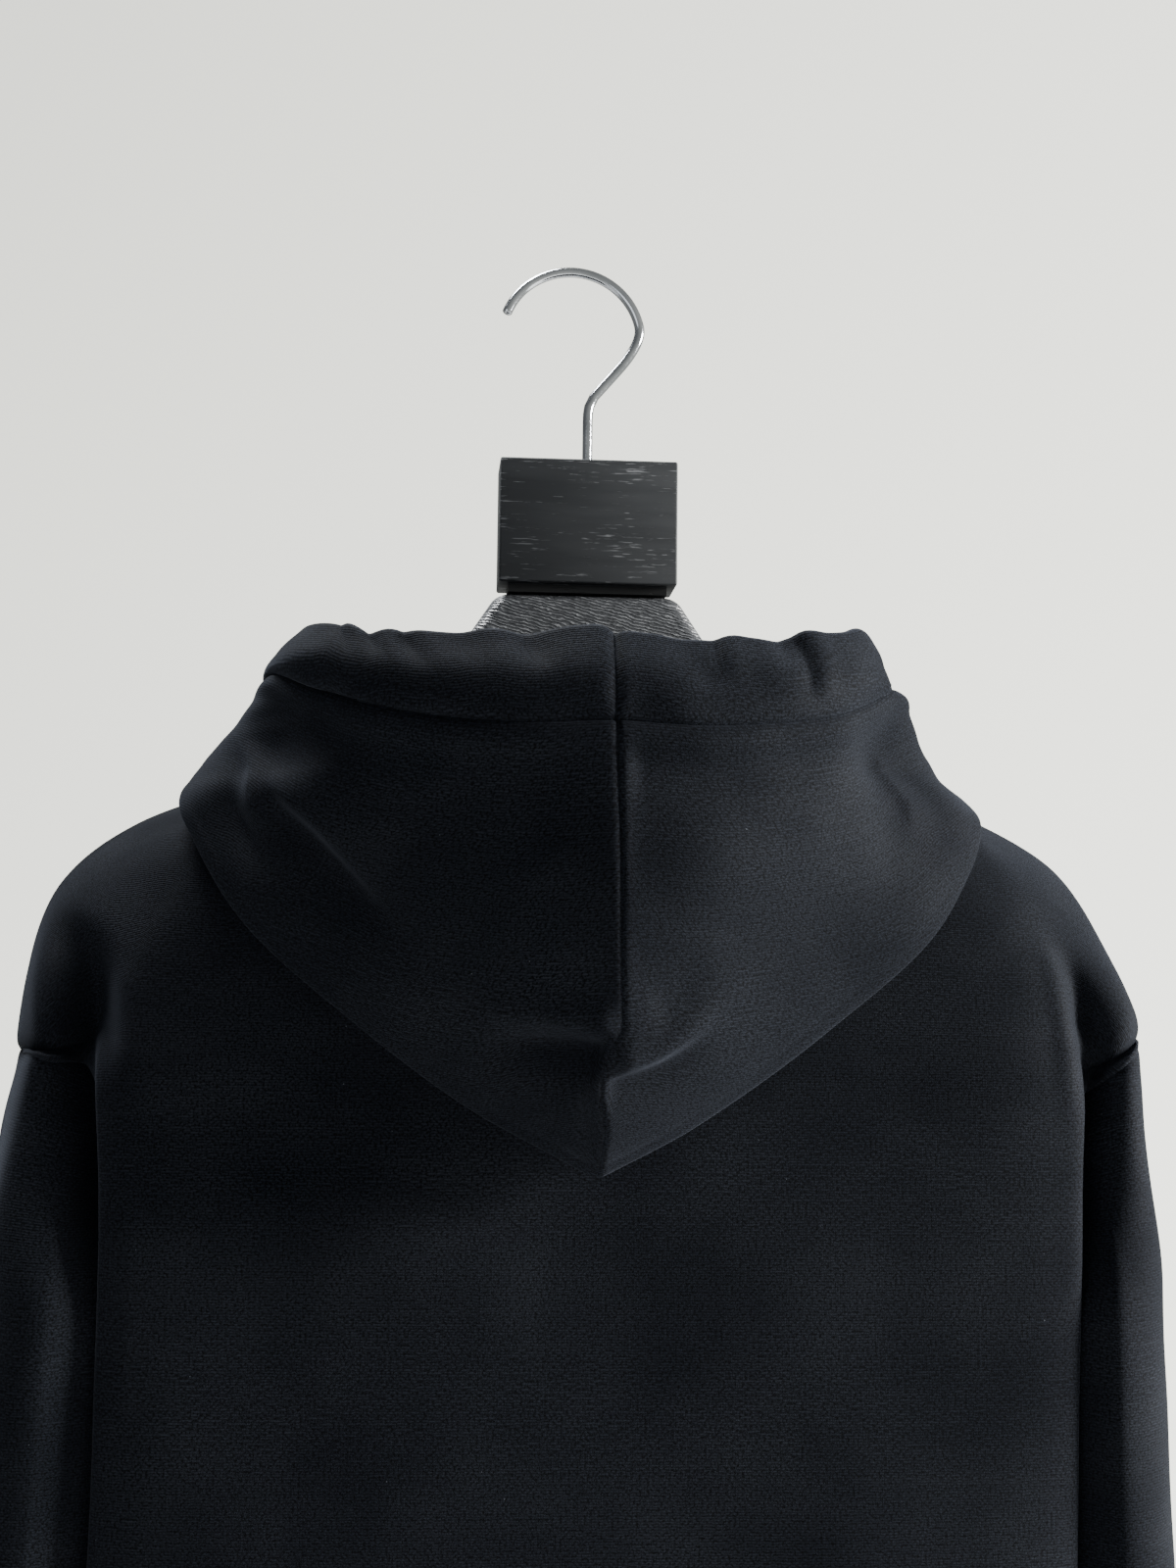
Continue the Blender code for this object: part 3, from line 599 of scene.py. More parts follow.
@dataclass(frozen=True)
class KnitFinish:
    """Cotton knit: fine courses, a soft nap, a little lint, and painted shade in the low places of
    the knit and of the nap.
    """

    name: str
    dark: Colour = (0.0098, 0.0120, 0.0172)
    light: Colour = (0.0182, 0.0212, 0.0282)
    # painted shade: near-black laid on the low yarn and in the dips of the nap
    groove: Colour = (0.0008, 0.0009, 0.0012)
    lint: Colour = (0.11, 0.12, 0.14)
    lint_share: float = 0.8
    course: float = 0.00115  # pitch of the courses and of the stitches, metres
    wale: float = 0.0010
    depth: float = 0.00011
    tones: Pair = (0.36, 0.64)  # of the pattern: darkest and lightest yarn
    roughness: Pair = (0.86, 0.74)
    sunk_shade: Place = (0.35, 1.05, 0.80)  # lowest and highest yarn, and how much painted shade the lowest gets
    nap_shade: Place = (0.41, 0.59, 0.95)  # the same for the painted shade in the dips of the nap
    specular: float = 0.06
    sheen: float = 0.22
    sheen_roughness: float = 0.42
    sheen_tint: Colour = (0.17, 0.19, 0.24)

    @cache
    def material(self) -> Material:
        """Build the material once; it reads the piece's knit UV map, in metres.

        Returns:
            The material.
        """
        material, bench, shader = start_material(self.name)
        place = bench.add("UVMap", uv_map="knit").outputs["UV"]
        knit = bench.group(KnitPattern().tree(), place, Course=self.course, Wale=self.wale)
        lint = bench.group(LintPattern().tree(), place)
        tone, height = knit.outputs["Tone"], knit.outputs["Height"]
        yarn = bench.blend(bench.span(tone, *self.tones), self.dark, self.light)
        # painted shade: the groove colour darkens the low yarn and the nap's dips
        sunk_shade = bench.span(height, *self.sunk_shade, 0.0)
        nap_shade = bench.span(knit.outputs["Grain"], *self.nap_shade, 0.0)
        cloth = bench.blend(bench.math("MAXIMUM", sunk_shade, nap_shade), yarn, self.groove)
        speck = bench.math("MULTIPLY", lint.outputs["Mask"], self.lint_share)
        bench.fill(shader, {
            "Base Color": bench.blend(speck, cloth, self.lint),
            "Roughness": bench.span(tone, *self.tones, *self.roughness),
            "Specular IOR Level": self.specular, "Sheen Weight": self.sheen,
            "Sheen Roughness": self.sheen_roughness, "Sheen Tint": self.sheen_tint})
        bench.bump(shader, height, self.depth)
        return material


@dataclass(frozen=True)
class WoodFinish:
    """Black-stained wood with short pale dashes of open grain, and painted shade on the set-in foot
    under the block.
    """

    name: str = "grained_wood"
    stain: Colour = (0.031, 0.0335, 0.036)
    worn: Colour = (0.040, 0.043, 0.046)
    grain: Colour = (0.24, 0.25, 0.26)
    grain_from: Pair = (0.602, 0.64)  # of the streaks: where a dash starts, and is full
    grain_share: float = 0.7
    worn_from: Pair = (0.35, 0.65)  # the same for the worn tone, in the swell
    # painted shade: near-black on the set-in foot, in the shade under the block
    foot_shade: Colour = (0.007, 0.0075, 0.008)
    foot_top: float = -149.7 * MM
    foot_blur: float = 0.4 * MM
    roughness: Pair = (0.42, 0.60)
    specular: float = 0.22
    depth: float = 0.12 * MM

    def material(self) -> Material:
        """Build the material; it reads Object coordinates.

        Returns:
            The material.
        """
        material, bench, shader = start_material(self.name)
        place = own_place(bench)
        height = bench.fill(bench.add("SeparateXYZ"), {"Vector": place}).outputs["Z"]
        # everything below foot_top takes the painted shade
        above_foot = bench.span(height, self.foot_top - self.foot_blur, self.foot_top)
        low, high = self.grain_from
        streaks = bench.group(StreakPattern().tree(), place, Low=low, High=high)
        mask, swell = streaks.outputs["Mask"], streaks.outputs["Swell"]
        worn = bench.span(swell, *self.worn_from)
        grained = bench.blend(bench.math("MULTIPLY", mask, self.grain_share),
                              bench.blend(worn, self.stain, self.worn), self.grain)
        bench.fill(shader, {
            "Base Color": bench.blend(above_foot, self.foot_shade, grained),
            "Roughness": bench.span(swell, 0.3, 0.7, *self.roughness),
            "Specular IOR Level": self.specular})
        bench.bump(shader, bench.math("MULTIPLY_ADD", mask, -1.0, worn), self.depth)
        return material


@dataclass(frozen=True)
class WrinkledFinish:
    """Glossy black coat with fine slanting wrinkles, and painted highlights as pale strokes along
    their crests.
    """

    name: str = "glossy_body"
    dark: Colour = (0.060, 0.063, 0.068)
    # painted highlight: the pale strokes on the wrinkles' crests
    crest_highlight: Colour = (0.270, 0.280, 0.292)
    slant: float = -14.0  # degrees
    ridges: Place = (110.0, 130.0, 215.0)  # how often each repeats along x, y and z, per metre
    breaks: Place = (190.0, 260.0, 700.0)
    wander: float = 8.0  # how crooked the ridges are
    ridge_roughness: float = 0.65
    crests: Pair = (0.55, 1.0)  # of the ridges: where the painted highlight starts, and is full
    runs: Pair = (0.36, 0.60)  # the same for the breaks along a ridge
    break_height: float = 1.2  # against a ridge
    roughness: Pair = (0.28, 0.42)
    specular: float = 0.5
    depth: float = 0.28 * MM

    def material(self) -> Material:
        """Build the material; it reads Object coordinates.

        Returns:
            The material.
        """
        material, bench, shader = start_material(self.name)
        place = own_place(bench)
        slant = (0.0, np.radians(self.slant), 0.0)
        ridges = bench.fill(bench.add("TexWave", wave_type="BANDS", bands_direction="Z"), {
            "Vector": bench.stretched(place, self.ridges, slant), "Scale": 1.0,
            "Distortion": self.wander, "Detail": 3.0, "Detail Scale": 1.0,
            "Detail Roughness": self.ridge_roughness}).outputs["Fac"]
        breaks = bench.noise(bench.stretched(place, self.breaks, slant), 1.0)
        # painted highlight: pale strokes on the ridge crests, broken along them
        highlight_stroke = bench.math("MULTIPLY", bench.span(ridges, *self.crests),
                            bench.span(breaks, *self.runs))
        bench.fill(shader, {
            "Base Color": bench.blend(highlight_stroke, self.dark, self.crest_highlight),
            "Roughness": bench.span(breaks, 0.3, 0.7, *self.roughness),
            "Specular IOR Level": self.specular})
        broken = bench.math("MULTIPLY", breaks, self.break_height)
        bench.bump(shader, bench.math("ADD", ridges, broken), self.depth)
        return material


@dataclass(frozen=True)
class ChromeFinish:
    """Polished wire with faint drawing marks along it."""

    name: str = "chrome"
    bright: Colour = (0.60, 0.62, 0.65)
    dull: Colour = (0.44, 0.46, 0.49)
    mark_scale: float = 900.0
    smear_scale: float = 60.0
    roughness: Pair = (0.10, 0.20)
    depth: float = 0.01 * MM

    def material(self) -> Material:
        """Build the material; it reads Object coordinates.

        Returns:
            The material.
        """
        material, bench, shader = start_material(self.name)
        place = own_place(bench)
        marks, smear = bench.noise(place, self.mark_scale), bench.noise(place, self.smear_scale)
        bench.fill(shader, {
            "Base Color": bench.blend(bench.span(smear, 0.35, 0.65), self.bright, self.dull),
            "Roughness": bench.span(marks, 0.3, 0.7, *self.roughness), "Metallic": 1.0})
        bench.bump(shader, marks, self.depth)
        return material


@dataclass(frozen=True)
class FloorFinish:
    """Plain pale matte floor."""

    name: str = "floor"
    colour: Colour = (0.72, 0.72, 0.70)
    paler: float = 1.03  # the colour of its palest clouds, against its own
    cloud_scale: float = 3.0
    roughness: float = 0.9

    def material(self) -> Material:
        """Build the material; it reads Object coordinates.

        Returns:
            The material.
        """
        material, bench, shader = start_material(self.name)
        clouds = bench.noise(own_place(bench), self.cloud_scale, 3.0)
        paler = tuple(part * self.paler for part in self.colour)
        bench.fill(shader, {"Base Color": bench.blend(clouds, self.colour, paler),
                            "Roughness": self.roughness})
        return material


FLEECE = KnitFinish("fleece")
RIB = KnitFinish("rib", course=0.0016, wale=0.0013, depth=0.00020, sheen=0.25)


# --- Cloth pieces ----------------------------------------------------------------------------

@dataclass(frozen=True)
class Cut:
    """Flat size of a piece before it was sewn, in metres."""

    width: float
    length: float
    area: float
    hold: Hold = Hold.HUNG


@dataclass
class ClothGrid:
    """Points of one piece of cloth, and how its wall and its knit lie on them."""

    name: str
    points: Array  # [row, column, xyz] in metres
    closed: bool = False  # the first and last columns are one line
    fullness: Optional[Array] = None  # share of the wall's thickness at each point
    knit_from_end: bool = False  # courses are counted from the last row
    same_place: float = 1e-6  # points this near are joined, in metres

    def knit_places(self) -> Array:
        """Measure where each point lies on the flat knit.

        Returns:
            The distance round and down the cloth at each point, in metres.
        """
        around = lengths_along(self.points, 1)
        around = around - around[:, [self.points.shape[1] // 2]]
        down = lengths_along(self.points, 0)
        if self.knit_from_end:
            down = down - down[[-1]]
        return np.stack([around, down], axis=-1)

    def mesh(self) -> Mesh:
        """Lay a grid mesh out on the points, with its UV map in metres.

        Returns:
            The mesh, with the fullness of its wall in the attribute `share`.
        """
        rows, columns = self.points.shape[0] - 1, self.points.shape[1] - 1
        sheet = bmesh.new()
        bmesh.ops.create_grid(sheet, x_segments=columns, y_segments=rows, size=0.5)
        mesh = bpy.data.meshes.new(self.name)
        sheet.to_mesh(mesh)
        sheet.free()
        flat = np.empty(len(mesh.vertices) * 3)
        mesh.vertices.foreach_get("co", flat)
        flat = flat.reshape(-1, 3)
        column = np.rint((flat[:, 0] + 0.5) * columns).astype(int)
        row = np.rint((flat[:, 1] + 0.5) * rows).astype(int)
        mesh.vertices.foreach_set("co", self.points[row, column].ravel())
        corners = np.empty(len(mesh.loops), dtype=np.int32)
        mesh.loops.foreach_get("vertex_index", corners)
        knit = self.knit_places()[row, column][corners]
        mesh.uv_layers.new(name="knit").uv.foreach_set("vector", knit.ravel())
        if self.fullness is not None:
            share = self.fullness[row, column]
            layer = mesh.attributes.new("share", "FLOAT", "POINT")
            layer.data.foreach_set("value", share.astype(np.float32))
        if self.closed:
            self.close(mesh)
        mesh.shade_smooth()
        mesh.update()
        return mesh

    def close(self, mesh: Mesh) -> None:
        """Join the first column to the last.

        Args:
            mesh: The piece's mesh, changed in place.
        """
        sheet = bmesh.new()
        sheet.from_mesh(mesh)
        bmesh.ops.remove_doubles(sheet, verts=sheet.verts, dist=self.same_place)
        sheet.to_mesh(mesh)
        sheet.free()


def finish_mesh(name: str, solid: bmesh.types.BMesh, sharp: float) -> Mesh:
    """Turn a bmesh into a smooth mesh.

    Args:
        name: The mesh's name.
        solid: The bmesh, which is freed.
        sharp: Degrees from which an edge stays sharp.

    Returns:
        The mesh.
    """
    mesh = bpy.data.meshes.new(name)
    solid.to_mesh(mesh)
    solid.free()
    mesh.shade_smooth()
    mesh.set_sharp_from_angle(angle=np.radians(sharp))
    return mesh


def put_in_scene(name: str, data: bpy.types.ID) -> Object:
    """Make an object and link it to the scene.

    Args:
        name: The object's name.
        data: Its mesh, curve, light or camera.

    Returns:
        The object.
    """
    thing = bpy.data.objects.new(name, data)
    bpy.context.scene.collection.objects.link(thing)
    return thing


def add_piece(name: str, data: bpy.types.ID, material: Material) -> Object:
    """Add a piece to the scene and let it ride on the rigid body.

    Args:
        name: The piece's name.
        data: Its mesh.
        material: Its material.

    Returns:
        The object.
    """
    thing = put_in_scene(name, data)
    data.materials.append(material)
    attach(thing, BODY)
    LOG.info("%s added", name)
    return thing


def sew(grid: ClothGrid, node: str, finish: KnitFinish, wall: Pair) -> Object:
    """Make a piece of cloth in place of its CAD node.

    Args:
        grid: The piece's points.
        node: The CAD node that it stands for.
        finish: Its knit.
        wall: Thickness of its wall in metres, and the wall's offset.

    Returns:
        The object.
    """
    mesh = grid.mesh()
    thing = add_piece(grid.name, mesh, finish.material())
    solid = thing.modifiers.new("wall", "SOLIDIFY")
    solid.thickness, solid.offset = wall
    solid.use_even_offset = False
    if grid.fullness is not None:
        group = thing.vertex_groups.new(name="fullness")
        share = np.empty(len(mesh.vertices), dtype=np.float32)
        mesh.attributes["share"].data.foreach_get("value", share)
        levels = np.round(share, 3)
        for level in np.unique(levels):
            group.add(np.flatnonzero(levels == level).tolist(), float(level), "REPLACE")
        mesh.attributes.remove(mesh.attributes["share"])
        solid.vertex_group = group.name
    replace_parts(thing, node)
    return thing


# --- Body ------------------------------------------------------------------------------------

BODY_COLUMNS = ("level", "z_centre", "z_edge", "y_centre", "fold", "valley", "lobe", "edge")
BODY_LEVELS = (
    ("neckline",      -252, -218, -42, (62, -33), (77, -22), (87, -10), (92, 0)),
    ("mid_shoulder",  -262, -243, -46, (108, -38), (130, -28), (145, -13), (150, 0)),
    ("hanger_end",    -282, -264, -51, (158, -44), (182, -32), (197, -15), (203, 0)),
    ("shoulder_drop", -305, -290, -56, (182, -50), (206, -39), (227, -21), (235, 0)),
    ("lobe_top",      -335, -326, -60, (201, -56), (218, -46), (239, -37), (249.5, 0)),
    ("armhole_top",   -368, -363, -63.4, (210, -59), (220, -41), (241, -47), (257.5, 0)),
    ("armhole_back",  -377, -367, -64.2, (211, -60), (219, -39), (229, -41), (242, -49)),
    ("armhole_fold",  -394, -386, -65.6, (212, -60), (215, -48), (217, -38), (214, -29)),
    ("underarm",      -432, -424, -68, (212, -60), (204, -43), (188, -20), (170, 0)),
    ("waist",         -640, -640, -72, (209, -57), (199, -41), (180, -20), (160, 0)),
    ("hem_seam",      -866, -866, -66, (204, -52), (195, -38), (179, -19), (163, 0)),
)
FRONT_COLUMNS = ("z_centre", "y_centre")
FRONT_LEVELS = {
    "neckline": (-312, -50),
    "mid_shoulder": (-322, -54),
    "hanger_end": (-334, -57),
    "shoulder_drop": (-346, -60),
    "lobe_top": (-360, -62),
    "armhole_top": (-378, -64),
    "armhole_back": (-386, -64.8),
    "armhole_fold": (-401, -66),
}
FRONT_NECK = {"fold": (50, -40), "valley": (68, -26)}


@dataclass
class BodyShape:
    """Lines of the two body panels: their levels, and how a level runs round; sizes in mm."""

    line_knots: Numbers = (0.0, 0.30, 0.62, 0.76, 0.88, 1.0)
    back_rise: Numbers = (0.0, 0.12, 0.48, 0.72, 0.92, 1.0)
    front_rise: Numbers = (0.0, 0.22, 0.72, 0.89, 0.97, 1.0)
    mid_of_fold: Pair = (0.56, 0.97)
    level_knots: Numbers = (0.0, 0.06, 0.13, 0.20, 0.27, 0.34, 0.38, 0.43, 0.50, 0.74, 1.0)
    armhole: Pair = (0.34, 0.50)  # levels between which the edge is the armhole
    armhole_count: int = 57  # rows between them, which the sleeve shares
    turn_pace: float = 0.6  # how late the way across the armhole turns outwards
    hem_top: float = -866.0
    seam_gap: float = 0.12
    seam_strip: float = 1.6
    corner_gap: float = 1.8
    valley: Pair = (0.42, 0.07)  # level of the valley beside the sleeve, its reach
    valley_gap: float = 0.5
    ridge_clear: float = 2.4  # extra room over the shoulder seam
    ridge_width: float = 16.0
    hood_reach: float = 0.45  # level below which the hood lies on nothing
    tree: Optional[KDTree] = None
    places: Optional[Array] = None
    outs: Optional[Array] = None

    def lines(self, face: Face = Face.BACK) -> Array:
        """Lay out the six lines of the right half of a panel.

        Args:
            face: The back or the front panel.

        Returns:
            The lines [level, line, xyz], in metres.
        """
        rows = []
        for level in BODY_LEVELS:
            row = dict(zip(BODY_COLUMNS, level))
            if face is Face.FRONT:
                row.update(zip(FRONT_COLUMNS, FRONT_LEVELS.get(row["level"], ())))
                row.update(FRONT_NECK if row["level"] == "neckline" else {})
            fold = row["fold"]
            mid = (fold[0] * self.mid_of_fold[0],
                   fold[1] + (row["y_centre"] - fold[1]) * self.mid_of_fold[1])
            plan = [(0.0, row["y_centre"]), mid, fold, row["valley"], row["lobe"], row["edge"]]
            rise = row["z_edge"] - row["z_centre"]
            shares = self.front_rise if face is Face.FRONT else self.back_rise
            rows.append([(x, y * -face.value, row["z_centre"] + rise * share)
                         for (x, y), share in zip(plan, shares)])
        return np.array(rows) * MM

    def surface(self, face: Face, levels: Array, arcs: Array) -> Array:
        """Read the right half of a panel.

        Args:
            face: The back or the front panel.
            levels: Levels of the rows, from 0 at the neckline to 1 at the hem's seam.
            arcs: Arcs of the columns, from 0 at the centre to 1 at the edge.

        Returns:
            The points [level, arc, xyz].
        """
        lines = through(self.lines(face), self.level_knots, levels)
        closed = (levels <= self.armhole[0]) | (levels >= self.armhole[1])
        lines[closed, -1, 1] = 0.0
        return through(lines.transpose(1, 0, 2), self.line_knots, arcs).transpose(1, 0, 2)

    def armhole_levels(self) -> Array:
        """Return the levels of the rows along the armhole."""
        return np.linspace(*self.armhole, self.armhole_count)

    def armhole_seam(self) -> tuple[Array, Array]:
        """Read the back half of the right armhole.

        Returns:
            The seam's line, and the way across it from the panel to the sleeve.
        """
        levels = self.armhole_levels()
        seam = through(self.lines()[:, -1], self.level_knots, levels)
        seam[[0, -1], 1] = 0.0
        return seam, self.across_armhole(levels)

    def across_armhole(self, levels: Array) -> Array:
        """Work out the way across the seam: down on the shoulder, outwards under the arm.

        Args:
            levels: Levels between the armhole's two.

        Returns:
            The way at each level.
        """
        share = (levels - self.armhole[0]) / (self.armhole[1] - self.armhole[0])
        turn = ease((1 + self.turn_pace) * share - self.turn_pace) * np.pi / 2
        return np.stack([np.sin(turn), 0 * turn, -np.cos(turn)], axis=-1)

    def tuck(self, levels: Array) -> Array:
        """Return the extra room at the seam in the valley beside the sleeve, in metres."""
        near = ease(1 - abs(levels - self.valley[0]) / self.valley[1])
        return self.valley_gap * MM * near

    def across_edge(self, face: Face, levels: Array) -> Array:
        """Work out the way out of a panel at its edge, to the other panel or the sleeve.

        Args:
            face: The back or the front panel.
            levels: Levels of the rows.

        Returns:
            The way at each level.
        """
        forward = np.array([0.0, -1.0 * face.value, 0.0])
        inside = ((levels > self.armhole[0]) & (levels < self.armhole[1]))[:, None]
        across = np.where(inside, self.across_armhole(levels), forward)
        corners = ((self.armhole[0], (0.0, 0.0, -1.0)), (self.armhole[1], (1.0, 0.0, 0.0)))
        for corner, down in corners:
            across[np.isclose(levels, corner)] = unit(forward + np.array(down))
        return across

    def point(self, face: Face, arc: float, level: float) -> Array:
        """Return one point of the right half of a panel."""
        lines = through(self.lines(face), self.level_knots, np.array([level]))[0]
        return through(lines, self.line_knots, np.array([arc]))[0]

    def measure_faces(self) -> None:
        """Sample the outer faces of both right panels closely, for the hood to lie on."""
        arcs, levels = np.linspace(0, 1, 101), np.linspace(0, self.hood_reach, 101)
        places, outs = [], []
        for face in Face:
            points = self.surface(face, levels, arcs)
            out = unit(np.cross(np.gradient(points, axis=0), np.gradient(points, axis=1)))
            places.append(points.reshape(-1, 3))
            outs.append((out * -face.value).reshape(-1, 3))
        self.places, self.outs = np.concatenate(places), np.concatenate(outs)
        self.tree = KDTree(len(self.places))
        for index, place in enumerate(self.places):
            self.tree.insert(place, index)
        self.tree.balance()

    def hold_clear(self, points: Array, clear: float) -> Array:
        """Move points that lie too near the panels straight out of them.

        Args:
            points: The points, of the right half.
            clear: Least height above the panels, in metres.

        Returns:
            The moved points.
        """
        if self.tree is None:
            self.measure_faces()
        flat = points.reshape(-1, 3).copy()
        nearest = np.array([self.tree.find(point)[1] for point in flat])
        near, out = self.places[nearest], self.outs[nearest]
        height = np.sum((flat - near) * out, axis=-1)
        push = np.maximum(clear + self.over_ridge(near[:, 1]) - height, 0.0)
        return (flat + out * push[:, None]).reshape(points.shape)

    def over_ridge(self, y: Array) -> Array:
        """Return the extra room at y over the shoulder's ridge, in metres."""
        return ease(1 - abs(y) / (self.ridge_width * MM)) * self.ridge_clear * MM


@dataclass
class Panels:
    """The back and the front of the body, cut in one piece each."""

    shape: BodyShape
    wall: float = 2.0 * MM
    back_cut: Cut = Cut(0.60, 0.68, 0.36)
    front_cut: Cut = Cut(0.60, 0.66, 0.34)
    tuck_depth: float = 0.9 * MM  # how deep a seam sits
    tuck_width: float = 2.2 * MM
    swell: float = 0.4 * MM
    swell_wave: float = 130.0  # mm
    swell_seed: int = 5
    side_fade: float = 20.0 * MM  # a fold dies away this near the side seams
    hem_fade: float = 30.0  # and this near the hem, mm
    relax_from: Pair = (18.0 * MM, 30.0 * MM)  # from the edge, and its blend
    relax_passes: int = 40
    end_rows: Numbers = (0.0, 0.003, 0.008)  # levels by the neckline
    hem_rows: Numbers = (0.992, 0.996, 0.998, 1.0)
    edge_arcs: Numbers = (0.973, 0.980, 0.986, 0.990, 0.9935, 0.996, 0.998, 1.0)
    back_columns: int = 84
    front_columns: int = 50
    corner_share: float = 0.3  # of the corner gap that a corner point draws back
    creases: tuple[Crease, ...] = (
        Crease(((-125, -429), (-71, -453), (-18, -469)), 1.6, 16, 20),
        Crease(((-214, -345), (-205, -400), (-203, -470), (-204, -560)), 0.9, 8, 12),
        Crease(((220, -330), (217, -373), (214, -420), (212, -520)), 1.3, 7, 8),
        Crease(((150, -470), (118, -560), (100, -680)), 0.6, 22, 26),
        Crease(((-150, -540), (-122, -640), (-112, -780)), 0.7, 20, 24),
        Crease(((-40, -560), (-34, -680), (-30, -800)), 0.5, 20, 22),
        Crease(((30, -640), (36, -760), (32, -850)), 0.5, 20, 22),
    )

    def rows(self) -> Array:
        """Return the levels of the grid's rows, closest at its ends."""
        return np.concatenate([self.end_rows, np.linspace(0.016, 0.335, 84),
                               self.shape.armhole_levels(), np.linspace(0.504, 0.988, 76),
                               self.hem_rows])

    def arcs(self, count: int) -> Array:
        """Return the arcs of the grid's columns, closest at the edge."""
        return np.concatenate([np.linspace(0, 0.965, count), self.edge_arcs])

    def half(self, face: Face, count: int) -> Array:
        """Lay out the right half of a panel.

        Args:
            face: The back or the front panel.
            count: How many columns it has before the close ones at its edge.

        Returns:
            The grid [row, column, xyz].
        """
        shape, rows, arcs = self.shape, self.rows(), self.arcs(count)
        points = shape.surface(face, rows, arcs).transpose(1, 0, 2)
        edge = points[-1].copy()
        across = shape.across_edge(face, rows)
        gap, strip = shape.seam_gap * MM, shape.seam_strip * MM
        run_into_seam(points, edge, across, gap, strip)
        tuck = shape.tuck(rows)[:, None]
        points[-1] -= across * tuck
        points[-2] -= across * tuck
        corners = np.isin(rows, shape.armhole)
        points[-1, corners] -= across[corners] * shape.corner_gap * MM * self.corner_share
        points = points.transpose(1, 0, 2)
        hem = points[-1] * [1, 1, 0] + [0, 0, shape.hem_top * MM]
        run_into_seam(points, hem, np.array([0.0, 0.0, -1.0]), gap, strip)
        return points

    def dress(self, points: Array, face: Face) -> Array:
        """Give a whole panel its folds and sink its seams.

        Args:
            points: The panel's grid.
            face: Which panel it is.

        Returns:
            The moved grid.
        """
        from_edge = np.minimum(lengths_along(points, 1),
                               lengths_along(points[:, ::-1], 1)[:, ::-1])
        start, blend = self.relax_from
        points = relax(points, ease((from_edge - start) / blend), self.relax_passes)
        out = way_out(points) * -face.value
        x, z = points[..., 0] / MM, points[..., 2] / MM
        free = (ease(from_edge / self.side_fade)
                * ease((z - self.shape.hem_top) / self.hem_fade))
        seed = self.swell_seed + face.value
        height = self.swell * soft_waves(x, z, seed, self.swell_wave)
        if face is Face.BACK:
            height = folds_at(self.creases, points) + height
        tuck = np.exp(-(from_edge / self.tuck_width) ** 2)
        return points + out * (height * free - self.tuck_depth * tuck)[..., None]

    def build(self) -> None:
        """Make both panels."""
        for face, node, cut, columns in (
                (Face.BACK, "back_panel", self.back_cut, self.back_columns),
                (Face.FRONT, "front_panel", self.front_cut, self.front_columns)):
            right = self.half(face, columns)
            left = (right * [-1, 1, 1])[:, :0:-1]
            points = SETTLING.apply(self.dress(np.concatenate([left, right], axis=1), face))
            grid = ClothGrid(f"{node}_cloth", points, knit_from_end=True)
            sew(grid, node, FLEECE, (self.wall, 0.0))


# --- Sleeves and rib bands -------------------------------------------------------------------

